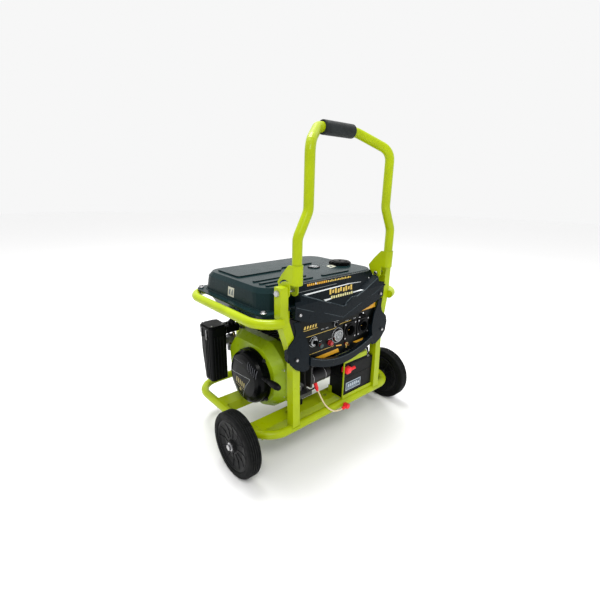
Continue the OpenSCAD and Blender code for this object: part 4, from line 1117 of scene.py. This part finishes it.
# ---------- recoil starter ----------
side = dict(slot="black_plastic", lift=0.0004, step=0.006)
recoil = ("recoil_housing", mm(-400, 0, 0), -Y, Z)
decal("recoil_triangle", [
    line([(-42, 292), (28, 299), (98, 305)], 1.8), line([(-42, 292), (-10, 251), (13, 224), (42, 206)], 1.6),
    line([(98, 303), (72, 268), (56, 236), (44, 206)], 1.6),
], *recoil, GREY_INK_AND_HIGHLIGHT, **side)
bars = [slanted(4 + 12 * k, 262 - 2.5 * k, 12 + 12 * k, 284 - 2.5 * k, 4) for k in range(5)]
bars += [slanted(26, 232, 38, 244, 2), line([(2, 254), (58, 246)], 2)]
decal("recoil_gold_bars", bars, *recoil, DIM_GOLD_INK, **side)
# lighter lines along a fold and on the ribs between the slots: painted highlights
decal("recoil_fold_highlight_line", [line([(-8, 349), (20, 352), (54, 350)], 1.4)], *recoil, DIM_PAINTED_HIGHLIGHT, **side)
decal(
    "recoil_slot_rib_highlights", [line([(83.6 + 9 * k, 337 - 4 * k), (83.6 + 9 * k, 367 - 4 * k)], 2) for k in range(6)],
    *recoil, DIM_PAINTED_HIGHLIGHT, **side
)
b = Build()
for a in (40, 130, 220, 310):
    y, z = -50 + 106 * cos(radians(a)), 290 + 106 * sin(radians(a))
    b.lathe([(0.0085, 0), (0.0085, 0.004), (0.0065, 0.006), (0.0, 0.006)], mm(-262.5, y, z), LEFT, 20)
    hexbolt(b, mm(-268, y, z), LEFT, 0.0085, 0.0045, 0.0, a)
b.done("recoil_flange_bolts", DARK_STEEL, slot="dark_steel")
b = Build()
for k in range(5):
    b.tube(ring_y(-176 - 5 * k, -289, 322, 9.6 - 0.45 * k, 28), 0.0009, 6, True)
b.done("starter_grip_rings", BLACK, "starter", "black_plastic")

# ---------- engine ----------
b = Build()
for y, z in ((128, 250), (128, 345), (84, 410), (-100, 415), (-184, 350), (-184, 245), (-112, 180), (70, 182)):
    b.lathe([(0.0088, 0), (0.0088, 0.003), (0.0, 0.0034)], mm(-227.5, y, z), LEFT, 20)
    hexbolt(b, mm(-230.2, y, z), LEFT, 0.0085, 0.0055, 0.0, 0.01 * y)
b.done("fan_cover_bolts", ZINC, slot="plated_steel")
b = Build()
for z in (214, 262, 312):
    for x in (-180, -72):
        hexbolt(b, mm(x, -141.5, z), FRONT, 0.010, 0.006, 0.008, z)
hexbolt(b, mm(-110, -141.5, 212), FRONT, 0.014, 0.008, 0.011, 0.3)
b.done("crankcase_bolts", ZINC, slot="plated_steel")
b = Build()
for k in range(4):
    a = radians(45 + 90 * k)
    y, z = -50 + 98 * cos(a), 290 + 98 * sin(a)
    hexbolt(b, mm(226.5, y, z), RIGHT, 0.011, 0.007, 0.009, a)
for k in range(3):
    a = radians(30 + 120 * k)
    hexbolt(b, mm(227.5, -50 + 28 * cos(a), 290 + 28 * sin(a)), RIGHT, 0.008, 0.005, 0.0065, a)
b.done("alternator_bolts", ZINC, slot="plated_steel")
b = Build()
b.lathe([(0.024, 0), (0.024, 0.003), (0.02, 0.0055), (0.0, 0.006)], mm(228, -50, 290), RIGHT, 40)
b.done("bearing_cap", ALU_DARK, slot="cast_aluminium")
b = Build()
for x in (-8, 38, 90, 140, 188):
    b.tube(ring_x(x * MM, CRANK, 0.1086, 72), 0.0011, 6, True)
b.done("alternator_bands", ALU_DARK, slot="cast_aluminium")
decal(
    "alternator_plate", [quad(56, 268, 132, 312)], "alternator_housing", mm(0, -300, 0), X, Z, LABEL,
    slot="cast_aluminium", lift=0.0005
)
decal(
    "alternator_plate_lines", [line([(62, 304 - 7 * k), (126 - 11 * (k % 3), 304 - 7 * k)], 1.2) for k in range(5)],
    "alternator_housing", mm(0, -300, 0), X, Z, BLUE_INK, slot="cast_aluminium", lift=0.0008
)
b = Build()
for k in range(3):
    a = radians(90 + 120 * k)
    hexbolt(b, mm(-2.4, -186 + 15 * cos(a), 276 + 15 * sin(a)), RIGHT, 0.006, 0.004, 0.0, a)
for x in (-100, -36):
    b.tube(ring_x(x * MM, STARTER_MOTOR, 0.0272, 48), 0.0011, 6, True)
for z in (314, 330):
    b.lathe([(0.0035, 0), (0.0035, 0.01), (0.0028, 0.011)], mm(-24, -176, z), RIGHT, 16)
    hexbolt(b, mm(-20.5, -176, z), RIGHT, 0.008, 0.004, 0.0, z)
b.done("starter_motor_hardware", ZINC, slot="plated_steel")
b = Build()
for x in (-166, -86):
    for l in (-28, 28):
        c, s = cos(radians(-55)), sin(radians(-55))
        at = mm(x, -50 + l * c - 225 * s, 290 + l * s + 225 * c)
        hexbolt(b, at + (mm(20 if x < -126 else -20, 0, 0)), Vector((0, -s, c)), 0.011, 0.007, 0.009, l)
b.done("head_bolts", ZINC, slot="plated_steel")
b = Build()
for x, r in ((-38 * MM, 0.0575), (0.2215, 0.058)):
    b.tube(ring_x(x, SILENCER_AXIS, r, 64), 0.0013, 6, True)
for k in range(3):
    a = radians(90 + 120 * k)
    hexbolt(b, mm(170 + 18 * cos(a), 227.5, 404 + 18 * sin(a)), BACK, 0.0055, 0.003, 0.0, a)
b.done("silencer_seams", SILENCER, slot="muffler_steel")
b = Build()
for y in (150, 190):
    b.tube(
        [mm(-349.4, y, 430), mm(-350.6, y, 424), mm(-350.2, y, 408), mm(-350.8, y, 396), mm(-349.2, y, 388)],
        0.0014, 8
    )
for x, y in ((-330, 138), (-282, 138), (-330, 202), (-282, 202)):
    screw(b, mm(x, y, 443), UP, 0.004, 0.002)
b.done("air_box_clips", ZINC, slot="plated_steel")
b = Build()
b.lathe(
    [(0.0148, 0), (0.0148, 0.002), (0.013, 0.004), (0.009, 0.006), (0.009, 0.01), (0.006, 0.012)],
    mm(-226, 160, 436), UP, 28
)
b.tube([mm(-262, 150, 426), mm(-258, 158, 428), mm(-250, 166, 430), mm(-241, 168, 432)], 0.0045, 10)
for x, y in ((-258, 190), (-208, 190), (-208, 150)):
    hexbolt(b, mm(x, y, 424.2), UP, 0.010, 0.006, 0.008, x)
b.done("breather_fittings", DARK_STEEL, slot="dark_steel")
b = Build()
b.lathe([(0.0065, 0), (0.0065, 0.010), (0.005, 0.012), (0.0, 0.0125)], mm(-215, 164, 372), UP, 18)
hexbolt(b, mm(-226, 172, 305.5), DOWN, 0.010, 0.006, 0.0, 0.2)
for s in (-1, 1):
    b.lathe([(0.0036, 0), (0.0036, 0.016), (0.003, 0.017)], mm(-226 + 12 * s, 157.5, 352 + 10 * s), FRONT, 14)
b.done("carburettor_screws", BRASS, slot="plated_steel")
b = Build()
b.tube(ring_y(-169, -160, 225, 13.2, 30), 0.0013, 8, True)
b.prism(rect(-0.009, 0.009, -0.002, 0.002, 0.001), mm(-160, -176, 225), X, Z, 0.004, 0.001)
b.done("dipstick_handle", YELLOW, "oil_dipstick", "yellow_plastic")

# ---------- battery ----------
battery_front = ("battery", mm(0, -300, 0), X, Z)
decal("battery_label_border", [quad(46, 190, 136, 226)], *battery_front, LABEL, slot="black_plastic", lift=0.0005)
decal("battery_label_field", [quad(49, 193, 133, 223)], *battery_front, BLUE_INK, slot="black_plastic", lift=0.0009)
decal(
    "battery_label_marks",
    [
        slanted(56 + 12 * k, 203, 64 + 12 * k, 217, 2) for k in range(5)
    ] + [line([(55, 198), (112, 198)], 1.6), disc(122, 208, 5, 20)],
    *battery_front, LABEL, slot="black_plastic", lift=0.0013
)
b = Build()
for k in range(6):
    b.lathe([(0.0095, 0), (0.0095, 0.0018), (0.0085, 0.0026), (0.0, 0.0026)], mm(52 + 22 * k, -186, 331), UP, 24)
for z in (176, 250, 304):
    b.prism(line([(34, z), (204, z)], 2), mm(0, -246.1, 0), X, Z, 0.0012, 0.0005)
    b.prism(line([(-242, z), (-174, z)], 2), mm(208.1, 0, 0), Y, Z, 0.0012, 0.0005)
for z in (176, 250, 304):
    b.prism(line([(174, z), (242, z)], 2), mm(29.9, 0, 0), -Y, Z, 0.0012, 0.0005)
b.done("battery_ribs_and_caps", BLACK, slot="black_plastic")
b = Build()
b.prism(rect(-0.008, 0.008, -0.008, 0.008, 0.002), mm(188, -233, 300), X, Y, 0.0022, 0.0006)
hexbolt(b, mm(188, -233, 302), UP, 0.011, 0.006, 0.008)
hexbolt(b, mm(150, -212, 340), UP, 0.013, 0.007, 0.011, 0.3)
b.done("battery_hardware", ZINC, slot="plated_steel")
b = Build()
b.lathe(
    [(0.0048, 0), (0.0052, 0.008), (0.0042, 0.018), (0.0034, 0.026)], mm(188, -232.6, 305), unit((-0.03, 0, 1)), 20
)
b.done("battery_lead_boot", HOSE, slot="black_rubber")
b = Build()
b.lathe([(0.0105, 0), (0.0115, 0.0015), (0.0105, 0.003), (0.007, 0.0036)], mm(48, -256.2, 285.5), FRONT, 28)
b.done("battery_boot_detail", RED, slot="red_rubber")

# ---------- boots of the lead ----------
b = Build()
tip = Vector(lead_path[-1]) * MM
b.tube([tip + mm(d, 0, 0.15 * d) for d in (-6, -3, 0, 3)], 0.0052, 14, False, lambda i: 0.75 + 0.12 * i)
b.lathe([(0.0078, 0), (0.0084, 0.001), (0.0078, 0.002)], mm(22, -286 + 1.2, 147.5), BACK, 24)
root = Vector(lead_path[0]) * MM
b.tube(
    [root + Vector((0.0, -0.6, -1)).normalized() * d * MM for d in (-4, 0, 5, 10)], 0.0062, 14, False,
    lambda i: 1.15 - 0.17 * i
)
b.done("lead_boot_collars", RED, slot="red_rubber")


# ---------- floor and light ----------
def studio():
    b = Build()
    b.lathe([(14.0, 0), (0.02, 0)], (0, 0, 0), (0, 0, 1), 64, cap=(False, True))
    me = bpy.data.meshes.new("floor")
    me.from_pydata([tuple(p) for p in b.v], [], b.f)
    floor = bpy.data.objects.new("floor", me)
    scene.collection.objects.link(floor)
    m = Mat("pale_floor")
    near = m.mix(m.span(m.noise(3, 3), 0.3, 0.7), (0.85, 0.85, 0.85), (0.83, 0.83, 0.835))
    away = m.calc(
        "SQRT", m.calc("ADD", m.calc("MULTIPLY", m.axis(0), m.axis(0)), m.calc("MULTIPLY", m.axis(1), m.axis(1)))
    )
    tone = m.mix(m.span(away, 1.2, 4.0), near, (0.98, 0.98, 0.98))
    me.materials.append(m.set(color=tone, rough=m.span(m.noise(40, 3), 0.3, 0.7, 0.7, 0.8)))
    world = bpy.data.worlds.new("studio")
    scene.world = world
    world.use_nodes = True
    world.node_tree.nodes["Background"].inputs[0].default_value = (1.0, 1.0, 1.0, 1)
    world.node_tree.nodes["Background"].inputs[1].default_value = 0.93

    def lamp(name, at, to, size, power, tint=(1, 1, 1)):
        data = bpy.data.lights.new(name, "AREA")
        data.shape = "DISK"
        data.size = size
        data.energy = power
        data.color = tint
        ob = bpy.data.objects.new(name, data)
        scene.collection.objects.link(ob)
        ob.location = at
        ob.rotation_euler = (Vector(to) - Vector(at)).to_track_quat("-Z", "Y").to_euler()

    lamp("key", (-1.7, -2.3, 3.4), (0, 0, 0.4), 1.3, 60, (1.0, 0.985, 0.96))
    lamp("fill", (2.6, -1.6, 1.8), (0, 0, 0.4), 2.2, 4, (0.95, 0.975, 1.0))
    lamp("top", (0.2, 0.8, 3.4), (0, 0, 0.4), 1.6, 110)


studio()
scene.view_settings.view_transform = "Standard"
